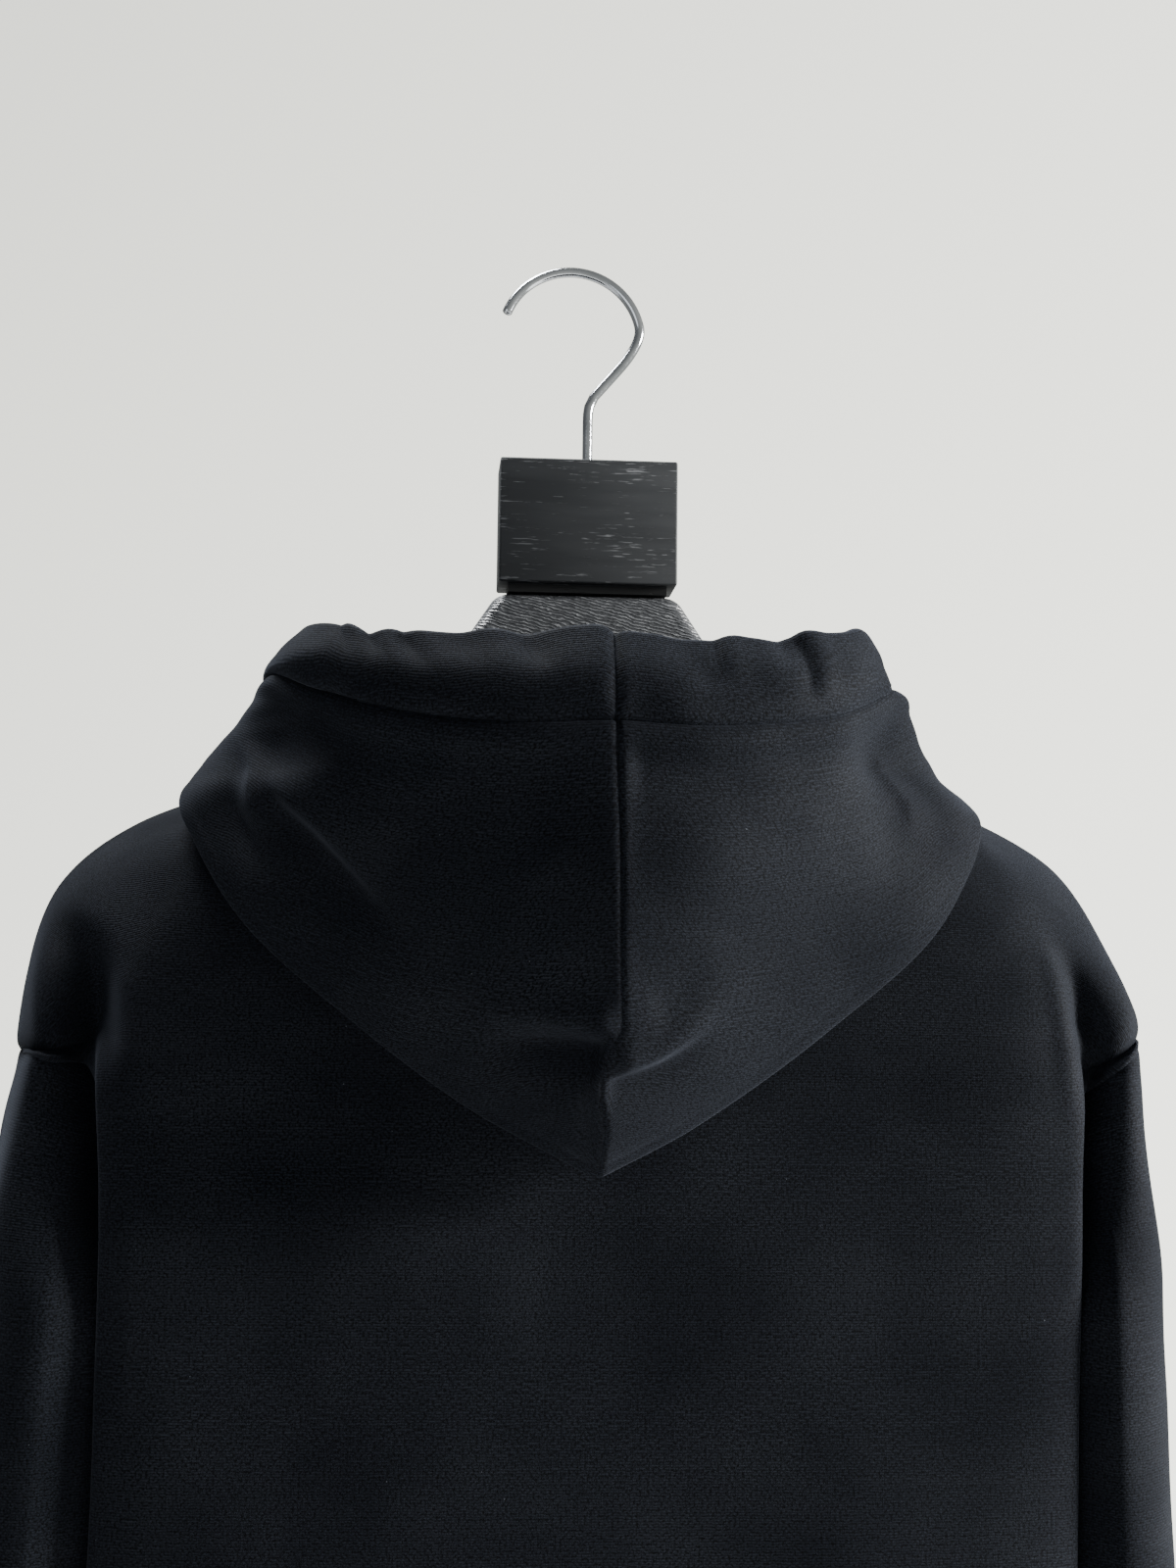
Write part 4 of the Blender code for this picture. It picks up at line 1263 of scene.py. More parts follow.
@dataclass
class Sleeves:
    """The two sleeves, each a tube from the armhole to the cuff's seam; sections in mm."""

    shape: BodyShape
    sections: tuple[Numbers, ...] = (  # z, x_middle, outer, inner, depth
        (-395, 228, 32, 50, 62),
        (-450, 229, 34.5, 51, 65),
        (-585, 233, 35.5, 50, 63),
        (-720, 241, 32, 47, 58),
        (-815, 245, 30, 40, 51),
        (-848, 246, 24, 30, 40),
    )
    outer_round: float = 2.3  # 2 is an ellipse, and more is squarer
    inner_point: float = 1.35  # less than 2 is more pointed
    hang_blend: float = 0.20  # share of the length where it leaves the armhole
    lead: float = 0.25  # metres it would run straight on from the armhole
    tuck_fade: float = 0.03  # share of the length where the valley's room ends
    top_rows: Numbers = (0.0, 0.0022, 0.005, 0.009, 0.014)
    end_rows: Numbers = (0.984, 0.991, 0.996, 1.0)
    end: float = -848.0
    wall: float = 2.0 * MM
    cut: Cut = Cut(0.33, 0.485, 0.146)
    swell: float = 0.9 * MM
    swell_wave: float = 95.0  # mm
    swell_round: float = 45.0  # mm, the swell's radius round the arm
    swell_seed: int = 11
    top_fade: float = 20.0 * MM  # a fold dies away this near the seams
    end_fade: float = 15.0 * MM
    folds_blend: float = 12.0  # mm behind the middle where the folds are full
    tuck_depth: float = 0.9 * MM
    tuck_width: float = 2.2 * MM
    creases: tuple[Crease, ...] = (
        Crease(((222, -372), (226, -420), (228, -500), (232, -600)), 1.8, 9, 12),
        Crease(((258, -372), (260, -430), (256, -520)), -0.9, 12, 14),
        Crease(((-258, -376), (-260, -440), (-254, -540)), -0.9, 12, 14),
        Crease(((-232, -385), (-228, -440), (-236, -540)), 1.8, 9, 12),
        Crease(((250, -640), (228, -690), (252, -730)), 2.0, 14, 18),
        Crease(((-250, -620), (-226, -680), (-254, -720)), 2.0, 14, 18),
        Crease(((230, -770), (262, -800), (236, -835)), 2.0, 10, 13),
        Crease(((-232, -778), (-262, -806), (-238, -838)), 2.0, 10, 13),
    )

    def outline(self, z: Array, turn: Array) -> tuple[Array, Array]:
        """Read the right sleeve's sections.

        Args:
            z: Height of each point, in metres.
            turn: Radians round from the outer side, by way of the back.

        Returns:
            x and y of each point, in metres.
        """
        table = np.array(self.sections, float)[::-1] * MM
        middle, outer, inner, depth = np.moveaxis(through(table[:, 1:], table[:, 0], z), -1, 0)
        cosine, sine = np.cos(turn), np.sin(turn)
        power = 2 / np.where(cosine > 0, self.outer_round, self.inner_point)
        reach = np.where(cosine > 0, outer, inner)
        x = middle + np.sign(cosine) * reach * np.abs(cosine) ** power
        y = -depth * np.sign(sine) * np.abs(sine) ** power
        return x, y

    def rows(self) -> Array:
        """Return the share of the sleeve's length at each row."""
        return np.concatenate([self.top_rows, np.linspace(0.021, 0.975, 118), self.end_rows])

    def tube(self) -> Array:
        """Lay out the right sleeve.

        Returns:
            The grid [row, column, xyz], closed round.
        """
        seam, across = self.shape.armhole_seam()
        mirror = np.array([1, -1, 1])
        seam = np.concatenate([seam, (seam * mirror)[-2::-1]])
        across = np.concatenate([across, (across * mirror)[-2::-1]])
        turn = np.linspace(0, 2 * np.pi, len(seam))
        rows = self.rows()[:, None]
        end = self.end * MM
        z = seam[:, 2] + (end - seam[:, 2]) * rows
        x, y = self.outline(z, turn[None] + 0 * rows)
        hang = ease(rows / self.hang_blend)
        start = seam[None] + across * (rows[..., None] * self.lead)
        points = np.stack([start[..., 0] * (1 - hang) + x * hang,
                           start[..., 1] * (1 - hang) + y * hang, z], axis=-1)
        gap, strip = self.shape.seam_gap * MM, self.shape.seam_strip * MM
        levels = self.shape.armhole_levels()
        tuck = self.shape.tuck(np.concatenate([levels, levels[-2::-1]]))[:, None]
        fade = (1 - ease(rows / self.tuck_fade))[..., None]
        points = points + across * tuck * fade
        points[0] = seam + across * (gap / 2 + tuck)
        cuff_line = points[-1] * [1, 1, 0] + [0, 0, end]
        run_into_seam(points, cuff_line, np.array([0.0, 0.0, -1.0]), gap, strip)
        return points

    def dress(self, points: Array, side: Side) -> Array:
        """Give one sleeve its folds and sink its seams.

        Args:
            points: The sleeve's grid on its own side.
            side: Which side it is.

        Returns:
            The moved grid.
        """
        out = -way_out(points)
        out[:, [0, -1]] = unit(out[:, [0]] + out[:, [-1]])
        from_top = lengths_along(points, 0)
        from_end = from_top[[-1]] - from_top
        free = ease(from_top / self.top_fade) * ease(from_end / self.end_fade)
        height = folds_at(self.creases, points) * on_back(points, 0.0, self.folds_blend)
        z = points[..., 2] / MM
        around = np.linspace(0, 2 * np.pi, points.shape[1])[None] + 0 * z
        wave = soft_waves(self.swell_round * np.cos(around),
                          z + self.swell_round * np.sin(around),
                          self.swell_seed + side.value, self.swell_wave)
        height = (height + self.swell * wave) * free
        tuck = np.exp(-(from_top / self.tuck_width) ** 2) + np.exp(
            -(from_end / self.tuck_width) ** 2)
        return points + out * (height - self.tuck_depth * tuck)[..., None]

    def build(self) -> None:
        """Make both sleeves."""
        tube = self.tube()
        for side in Side:
            points = tube if side is Side.RIGHT else to_left(tube)
            name = f"sleeve_{side.name.lower()}"
            points = SETTLING.apply(self.dress(points, side))
            points = start_opposite(points.transpose(1, 0, 2)).transpose(1, 0, 2)
            grid = ClothGrid(f"{name}_cloth", points, closed=True, knit_from_end=True)
            sew(grid, name, FLEECE, (self.wall, 0.0))


def start_opposite(ring: Array) -> Array:
    """Return a closed ring that starts half way round, where the arm's own seam is."""
    middle = len(ring) // 2
    return np.concatenate([ring[middle:], ring[1:middle + 1]])


def to_left(points: Array) -> Array:
    """Return a right-hand grid moved to the left side, still facing out."""
    return (points * [-1, 1, 1])[:, ::-1]


@dataclass
class RibBands:
    """The hem and the cuffs, in rib knit."""

    panels: Panels
    sleeves: Sleeves
    base: float = 2.2 * MM  # wall between two ribs
    top: float = 3.2 * MM  # wall on a rib
    steps: int = 4  # columns for each rib
    profile: Numbers = (0.0, 0.62, 1.0, 0.62)
    hem_ribs: int = 196
    cuff_ribs: int = 50
    hem_cut: Cut = Cut(0.98, 0.068, 0.064)
    cuff_cut: Cut = Cut(0.21, 0.064, 0.0128)
    hem: Numbers = (-866, -930, 0.94, 1.01)  # top, bottom, draw-in, bulge
    cuff: Numbers = (-848, -908, 0.93, 1.03)
    rounding: float = 1.6 * MM  # of the bottom fold
    bulge_at: float = 0.45  # share of the height where a band is widest
    gather: Pair = (0.75, 0.035)  # how flat the ribs start, and how soon they are full
    hem_columns: int = 84  # of each panel's half, whose last row it follows
    rows: Numbers = (0.0, 0.012, 0.03, 0.06, 0.14, 0.26, 0.40, 0.54, 0.68, 0.80, 0.90, 0.955,
                     0.98, 0.993, 1.0)

    def even_ring(self, outline: Array, count: int) -> Array:
        """Put points at equal steps along a closed outline.

        Args:
            outline: x and y of its points, the last the same as the first.
            count: How many points it gets.

        Returns:
            x and y of the new points, without the first again at the end.
        """
        steps = np.linalg.norm(np.diff(outline, axis=0), axis=1)
        travelled = np.concatenate([[0], np.cumsum(steps)])
        even = np.linspace(0, travelled[-1], count, endpoint=False)
        return np.stack([np.interp(even, travelled, outline[:, axis]) for axis in range(2)],
                        axis=-1)

    def band(self, outline: Array, sizes: Numbers, ribs: int) -> tuple[Array, Array]:
        """Work out a band below a closed outline.

        Args:
            outline: x and y of the seam above it.
            sizes: Its top and bottom in mm, its draw-in and its bulge.
            ribs: How many ribs it has.

        Returns:
            Its plain inner surface [row, column, xyz], and its wall's share of `top`.
        """
        top, bottom, draw_in, bulge = sizes
        ring = self.even_ring(outline, self.steps * ribs)
        ring = np.concatenate([ring, ring[:1]])
        middle = (ring.min(axis=0) + ring.max(axis=0)) / 2
        down = np.array(self.rows)
        scale = through((1.0, bulge, draw_in), (0, self.bulge_at, 1.0), down)
        z = (top + (bottom - top) * down) * MM
        flat = middle + (ring - middle)[None] * scale[:, None, None]
        points = np.concatenate([flat, np.broadcast_to(z[:, None, None], flat.shape[:2] + (1,))],
                                axis=-1)
        rib = np.array(self.profile)[np.arange(ring.shape[0]) % self.steps]
        gather = 1 - self.gather[0] * np.exp(-((down / self.gather[1]) ** 2))
        wall = self.base + (self.top - self.base) * rib[None] * gather[:, None]
        from_end = (1 - down) * (top - bottom) * MM
        near = np.clip(1 - from_end / self.rounding, 0, 1)[:, None]
        wall = wall * np.sqrt(np.maximum(1 - near ** 2, 0.02))
        return points, wall / self.top

    def build(self) -> None:
        """Make the hem and both cuffs."""
        back, front = (self.panels.half(face, self.hem_columns)[-1] for face in Face)
        half = np.concatenate([back, front[::-1]])[:, :2]
        ring = np.concatenate([half, (half * [-1, 1])[::-1]])[::-1]
        points, share = self.band(ring, self.hem, self.hem_ribs)
        sew(ClothGrid("hem_band_cloth", points, True, share, True), "hem_band", RIB,
            (self.top, 1.0))
        tube = start_opposite(self.sleeves.tube()[-1][:, :2])
        points, share = self.band(tube, self.cuff, self.cuff_ribs)
        for side in Side:
            name = f"cuff_{side.name.lower()}"
            turned = points if side is Side.RIGHT else to_left(points)
            sew(ClothGrid(f"{name}_cloth", turned, True, share, True), name, RIB,
                (self.top, 1.0))


# --- Hood ------------------------------------------------------------------------------------

HOOD_COLUMNS = ("station", "opening", "groove", "outer", "fold", "under")
HOOD_STATIONS = (
    ("back_centre", (0, -125, -192), (0, -140, -232), (0, -136, -318), (0, -83, -416),
     (0, -71, -325)),
    ("back", (45, -126, -195), (43, -141, -233), (47, -128, -306), (50, -80, -389),
     (44, -69, -315)),
    ("back_outer", (84, -120, -194), (87, -131, -227), (94, -111, -284), (100, -76, -353),
     (78, -61, -294)),
    ("corner", (112, -103, -187), (118, -106, -216), (131, -88, -258), (149, -69, -310),
     (108, -50, -266)),
    ("side", (124, -76, -188), (134, -76, -205), (152, -60, -225), (178, -43, -261),
     (128, -33, -240)),
    ("over_shoulder", (124, -38, -197), (140, -32, -212), (160, -20, -227), (180, -2, -242),
     (132, 0, -226)),
    ("chest_outer", (112, 6, -214), (130, 12, -226), (148, 24, -238), (162, 44, -268),
     (122, 33, -241)),
    ("chest", (86, 50, -250), (104, 58, -261), (116, 67, -277), (118, 74, -312),
     (92, 58, -276)),
    ("throat", (50, 78, -285), (66, 81, -297), (74, 81, -312), (70, 78, -334),
     (62, 67, -305)),
    ("front_end", (6, 73, -318), (30, 77, -318), (41, 79, -325), (44, 76, -338),
     (41, 66, -322)),
)


@dataclass
class HoodShape:
    """Lines of the folded hood from its opening's edge to its neck seam; sizes in mm."""

    body: BodyShape
    neck_lines: tuple[tuple[str, float, float], ...] = (  # below the neckline, above the cloth
        ("above_neck", 9.0, 4.4), ("neck", 2.0, 2.7))
    neck_level: float = 0.06
    neck_arcs: Numbers = (0.0, 0.53, 1.12)
    line_clear: tuple[tuple[str, float], ...] = (  # least height above the panels
        ("opening", 11.0), ("groove", 12.0), ("outer", 12.0), ("fold", 5.5), ("under", 4.5))
    clear: float = 3.6
    seam_width: float = 1.25 * MM  # of the groove at the centre seam
    nose_radius: float = 5.5
    nose_point: float = 1.3  # how much longer than wide the bottom fold is
    nose_room: float = 5.0  # height, in radii, from which it is full
    left_tent: Line = (  # distance from the centre seam, rise of the cloth
        (0, 4.6), (20, 2.4), (40, -0.2), (60, -2.8), (78, -3.6), (98, -1.6), (120, 0.0),
    )
    right_tent: Line = (
        (0, 4.6), (20, 3.0), (40, 1.2), (60, -1.0), (78, -3.2), (98, -4.8), (120, -5.0),
    )
    left_in: Line = (  # z, and how far the side is drawn in there
        (-320, 0.0), (-275, -0.4), (-258, -0.4), (-252, 1.8), (-247, 5.0), (-241, 6.4),
        (-235, 5.8), (-229, 3.8), (-224, 2.6), (-219, 0.8), (-213, -0.8), (-208, -2.6),
        (-203, -4.2), (-197, -1.0), (-191, 1.2), (-184, 0.0),
    )
    right_in: Line = (
        (-320, 0.0), (-292, 1.0), (-270, 1.8), (-258, 5.0), (-250, 11.5), (-241, 19.0),
        (-232, 17.0), (-220, 10.0), (-214, 7.6), (-208, 5.4), (-203, 8.0), (-197, 9.4),
        (-192, 7.4), (-184, 2.4),
    )
    back_from: Pair = (55.0, 30.0)  # how far behind the middle its back starts, blend
    side_from: Pair = (92.0, 50.0)  # how far out the sides are drawn in, and the blend
    sides_until: Pair = (-5.0, 50.0)  # y where that ends, and the blend
    seam_arcs: Numbers = (0.0, 0.0007, 0.0015, 0.0024, 0.0035, 0.005, 0.0075, 0.011)

    def pitch(self, points: Array, side: Side, share: Array) -> Array:
        """Pitch the cloth like a tent towards the centre seam, and draw its right end in.

        Args:
            points: Points of the right half.
            side: Which side they become.
            share: How much of the move each point takes.

        Returns:
            The moved points.
        """
        left = side is Side.LEFT
        x, y, z = np.moveaxis(points, -1, 0) / MM
        rise = read_table(self.left_tent if left else self.right_tent, x)
        inward = read_table(self.left_in if left else self.right_in, z)
        aside, ahead = ((value - start) / blend for value, (start, blend) in (
            (x, self.side_from), (y, self.sides_until)))
        moved = points.copy()
        moved[..., 1] -= rise * MM * on_back(points, *self.back_from) * share
        moved[..., 0] -= inward * MM * ease(aside) * (1 - ease(ahead))
        return moved

    def arcs(self) -> Array:
        """Return the arcs of the columns, closest at the centre seam and on the back."""
        return np.concatenate([self.seam_arcs, np.linspace(0.016, 0.50, 84),
                               np.linspace(0.508, 1.0, 62)])

    def lines(self, arcs: Array) -> dict[str, Array]:
        """Lay out the hood's lines, held clear of the panels.

        Args:
            arcs: Where they are read, from 0 at the back's centre to 1 at the throat.

        Returns:
            Each line's points by its name, in metres.
        """
        stations = [dict(zip(HOOD_COLUMNS, station)) for station in HOOD_STATIONS]
        knots = np.linspace(0, 1, len(stations))
        lines = {name: through([station[name] for station in stations], knots, arcs) * MM
                 for name in HOOD_COLUMNS[1:]}
        for name, clear in self.line_clear:
            lines[name] = self.body.hold_clear(lines[name], clear * MM)
        for name, below, clear in self.neck_lines:
            lines[name] = self.above_the_panels(arcs, below * MM, clear * MM)
        return lines

    def above_the_panels(self, arcs: Array, below: float, clear: float) -> Array:
        """Work out a line round the neck.

        Args:
            arcs: The hood's arcs.
            below: How far below the neckline it runs, in metres.
            clear: How far above the panels' outer faces, in metres.

        Returns:
            The line's points.
        """
        shape, moved = self.body, []
        for turn in np.interp(arcs, self.neck_arcs, (0.0, 1.0, 2.0)):
            face = Face.FRONT if turn > 1.0 else Face.BACK
            arc = 2 - turn if turn > 1.0 else turn
            top, lower = (shape.point(face, arc, 0.0), shape.point(face, arc, self.neck_level))
            level = self.neck_level * below / np.linalg.norm(lower - top)
            place = shape.point(face, arc, level)
            aside = shape.point(face, arc - 0.01, level)
            out = unit(np.cross(place - aside, lower - place)) * face.value
            moved.append(place + out * (clear + shape.over_ridge(place[1])))
        return np.array(moved)

    def section(self, lines: dict[str, Array]) -> Array:
        """Put the lines in order, with a round nose at the bottom fold.

        Args:
            lines: The hood's lines by their names.

        Returns:
            The lines from the stitch line round the fold to the neck: [line, arc, xyz].
        """
        radius = self.nose_radius * MM
        rise_out, rise_under = lines["outer"] - lines["fold"], lines["under"] - lines["fold"]
        out = unit(unit(rise_out) - unit(rise_under))
        up = unit(unit(rise_out) + unit(rise_under))
        full_from = self.nose_room * radius
        shrink = ease(np.linalg.norm(rise_out, axis=-1, keepdims=True) / full_from)
        nose_out = lines["fold"] + (out + self.nose_point * up) * radius * shrink
        nose_under = lines["fold"] + (self.nose_point * up - out) * radius * shrink
        return np.array([lines["groove"], lines["outer"], nose_out, lines["fold"], nose_under,
                         lines["under"], lines["above_neck"], lines["neck"]])

    def across_stitching(self, lines: dict[str, Array]) -> Array:
        """Return the way from the casing down into the hood panel, along the stitch line."""
        return unit(unit(lines["groove"] - lines["opening"])
                    + unit(lines["outer"] - lines["groove"]))


def down_the_lines(lines: Array, rows: Array) -> Array:
    """Lay rows of a surface over lines.

    Args:
        lines: [line, column, xyz].
        rows: Places of the rows; 1.5 is midway between lines 1 and 2.

    Returns:
        The surface [row, column, xyz].
    """
    columns = []
    for column in lines.transpose(1, 0, 2):
        steps = np.linalg.norm(np.diff(column, axis=0), axis=1)
        knots = np.concatenate([[0], np.cumsum(steps)])
        columns.append(through(column, knots, np.interp(rows, range(len(knots)), knots)))
    return np.stack(columns, axis=1)


def meet_at_centre(points: Array, gap: float, strip: float) -> None:
    """Run a grid's first columns straight into the centre seam, on the plane x = 0.

    Args:
        points: The right-hand grid, changed in place.
        gap: Distance between the two halves.
        strip: Length of the straight strip beside the seam.
    """
    columns = points.transpose(1, 0, 2)
    seam = columns[0] * [0, 1, 1]
    run_into_seam(columns[::-1], seam, np.array([-1.0, 0.0, 0.0]), gap, strip)


@dataclass
class HoodCloth:
    """What the hood's panels and its casing share: their seams, and how a half is sewn."""

    hood: HoodShape
    tuck_depth: float = 2.3 * MM  # how deep a seam sits
    tuck_width: float = 2.0 * MM
    centre_depth: float = 0.8  # of the centre seam, against the others
    deepest: float = 1.2  # where two seams meet, against one
    seam_fade: float = 8.0 * MM  # a fold dies away this near the centre seam
    stitch_strip: float = 0.5  # straight strips, against those of the panels
    centre_strip: float = 0.4
    seam_line: Line = (  # z, and the centre seam's x there, mm
        (-425, 1.0), (-414, 1.0), (-396, 2.5), (-385, 0.0), (-376, -0.5), (-365, 2.5),
        (-354, 7.0), (-345, 6.5), (-320, 5.0), (-276, 4.0), (-232, 2.0), (-190, 1.0),
    )
    bend_reach: float = 42.0 * MM  # how far to its sides the seam takes the cloth along
    bend_from: Pair = (62.0, 20.0)  # how far behind the middle that starts, and the blend

    def meet(self, points: Array, stitching: Array, across: Array) -> None:
        """Run a half straight into the stitch line and the centre seam.

        Args:
            points: The half's grid, changed in place, with its last row at the stitch line.
            stitching: The stitch line.
            across: The way into it at each column.
        """
        body = self.hood.body
        gap, strip = body.seam_gap * MM, body.seam_strip * MM
        run_into_seam(points, stitching, across, gap, strip * self.stitch_strip)
        meet_at_centre(points, gap, strip * self.centre_strip)

    def raised(self, points: Array, height: Array, from_stitch: Array, centre: Array) -> Array:
        """Raise the cloth by its folds, and sink it at its seams.

        Args:
            points: The half's grid, on the right.
            height: How far its folds stand out, in metres.
            from_stitch: Distance from the stitch line, in metres.
            centre: How much of the centre seam's depth each point takes.

        Returns:
            The moved grid.
        """
        from_seam = lengths_along(points, 1)
        seams = (np.exp(-(from_stitch / self.tuck_width) ** 2) + self.centre_depth * centre
                 * np.exp(-(from_seam / self.hood.seam_width) ** 2))
        height = height - self.tuck_depth * np.minimum(seams, self.deepest)
        return points + way_out(points) * height[..., None]

    def bend_seam(self, points: Array) -> Array:
        """Move the cloth by the centre seam sideways, so that the seam follows its line.

        Args:
            points: A grid of either half.

        Returns:
            The moved grid.
        """
        line = np.array(self.seam_line)
        aside = np.interp(points[..., 2] / MM, line[:, 0], line[:, 1]) * MM
        near = np.exp(-(points[..., 0] / self.bend_reach) ** 2) * on_back(points, *self.bend_from)
        moved = points.copy()
        moved[..., 0] += aside * near
        return moved


@dataclass
class HoodPanels(HoodCloth):
    """The hood's two halves below the casing, folded down the back."""

    wall: float = 2.0 * MM
    cut: Cut = Cut(0.40, 0.30, 0.075, Hold.DRAPED)
    lip: float = 1.5 * MM  # roll of the cloth below the stitching
    lip_place: float = 7.8 * MM
    lip_width: float = 5.8 * MM
    swell: float = 0.35 * MM
    swell_wave: float = 70.0  # mm
    swell_seed: int = 21
    clear: float = 2.6 * MM
    folds_blend: float = 30.0  # mm behind the middle where the folds are full
    outer_until: Pair = (1.9, 0.4)  # row place where the outer face ends, and the blend
    pitched_until: Pair = (0.9, 1.4)  # the same for the tent
    seam_until: Pair = (3.2, 0.8)  # and for the sunk centre seam
    stitch_rows: Numbers = (0.0, 0.012, 0.027, 0.045, 0.07)
    kept_rows: tuple[int, int] = (5, 6)  # rows at its ends that aren't held clear again
    left: tuple[Crease, ...] = (
        Crease(((-162, -229), (-155, -238), (-148, -250), (-143, -262), (-135, -277), (-122, -294)),
               3.6, 8, 4, (0.4, 0.6), 1.8),
        Crease(((-165, -246), (-158, -257), (-152, -268), (-144, -284), (-131, -300)), -4.5, 5, 12,
               (0.4, 0.5)),
        Crease(((-146, -238), (-138, -247), (-128, -258), (-115, -270), (-103, -283), (-89, -298),
                (-73, -315), (-58, -328)), 5.6, 22, 6, (0.35, 0.6), 1.9),
        Crease(((-140, -256), (-130, -268), (-117, -281), (-105, -294), (-91, -309), (-75, -325)),
               -5.0, 5, 16, (0.3, 0.5)),
        Crease(((-120, -222), (-114, -234), (-112, -250)), -1.6, 9, 9, (0.2, 0.5)),
        Crease(((-60, -357), (-44, -350), (-25, -350), (-10, -353), (8, -357)), 6.0, 9, 3.0,
               (0.5, 0.02), 1.4),
        Crease(((-56, -365), (-38, -361), (-18, -362), (2, -366)), -6.0, 3.5, 9, (0.5, 0.02)),
        Crease(((-5, -374), (-11, -388), (-9, -400), (-3, -412)), 2.4, 3, 6, (0.2, 0.3)),
        Crease(((-70, -250), (-50, -280), (-44, -320)), -1.4, 22, 22),
    )
    right: tuple[Crease, ...] = (
        Crease(((0, -250), (26, -251), (55, -250), (83, -243), (104, -232)), -2.6, 8, 12,
               (0.1, 0.4)),
        Crease(((6, -300), (40, -287), (80, -278), (128, -276)), 3.0, 24, 30, (0.45, 0.15)),
        Crease(((140, -232), (139, -245), (137, -260), (134, -277)), 3.0, 8, 4, (0.2, 0.4), 1.7),
        Crease(((150, -236), (156, -252), (150, -280)), -2.0, 8, 8, (0.3, 0.4)),
        Crease(((0, -369), (9, -367), (20, -363), (33, -353), (46, -343), (70, -330)), 4.6, 7, 4.5,
               (0.02, 0.6), 1.5),
        Crease(((0, -378), (14, -374), (30, -366), (46, -355)), -3.4, 4.5, 7, (0.02, 0.6)),
        Crease(((10, -348), (26, -340), (44, -326)), -1.4, 9, 8, (0.3, 0.5)),
        Crease(((40, -330), (70, -312), (100, -290)), -1.2, 18, 22, (0.3, 0.3)),
    )

    def rows(self) -> Array:
        """Return the places of the rows between the hood's lines."""
        return np.concatenate([self.stitch_rows, np.linspace(0.105, 2, 62),
                               np.linspace(2.12, 4, 18), np.linspace(4.1, 5, 12),
                               np.linspace(5.12, 7, 10)])

    def half(self) -> Array:
        """Lay out the right half.

        Returns:
            The grid [row, column, xyz].
        """
        lines = self.hood.lines(self.hood.arcs())
        points = down_the_lines(self.hood.section(lines), self.rows())
        points[:-1] = self.hood.body.hold_clear(points[:-1], self.hood.clear * MM)
        self.meet(points[::-1], lines["groove"], -self.hood.across_stitching(lines))
        return points

    def dress(self, points: Array, side: Side) -> Array:
        """Give one half its folds, and roll it into its seams.

        Args:
            points: The right half's grid.
            side: Which side it becomes.

        Returns:
            The moved grid, still on the right.
        """
        turned = points * [side.value, 1, 1]
        rows = self.rows()[:, None]
        outer, pitched, seam = (1 - ease((rows - start) / blend) for start, blend in (
            self.outer_until, self.pitched_until, self.seam_until))
        from_top, from_seam = lengths_along(points, 0), lengths_along(points, 1)
        height = folds_at(self.left if side is Side.LEFT else self.right, turned)
        x, z = turned[..., 0] / MM, turned[..., 2] / MM
        swell = self.swell * soft_waves(x, z, self.swell_seed + side.value, self.swell_wave)
        free = ease(from_top / self.seam_fade) * ease(from_seam / self.seam_fade)
        height = (height * on_back(points, 0.0, self.folds_blend) + swell) * outer * free
        lip = self.lip * np.exp(-((from_top - self.lip_place) / self.lip_width) ** 2)
        moved = self.raised(points, height + lip * outer, from_top, seam)
        return self.hood.pitch(moved, side, pitched)

    def build(self) -> None:
        """Make both halves."""
        half = self.half()
        first, last = self.kept_rows
        for side in Side:
            points = self.dress(half, side)
            points[first:-last] = self.hood.body.hold_clear(points[first:-last], self.clear)
            turned = points if side is Side.RIGHT else to_left(points)
            name = f"hood_{side.name.lower()}"
            sew(ClothGrid(f"{name}_cloth", self.bend_seam(turned)), name, FLEECE,
                (self.wall, 0.0))


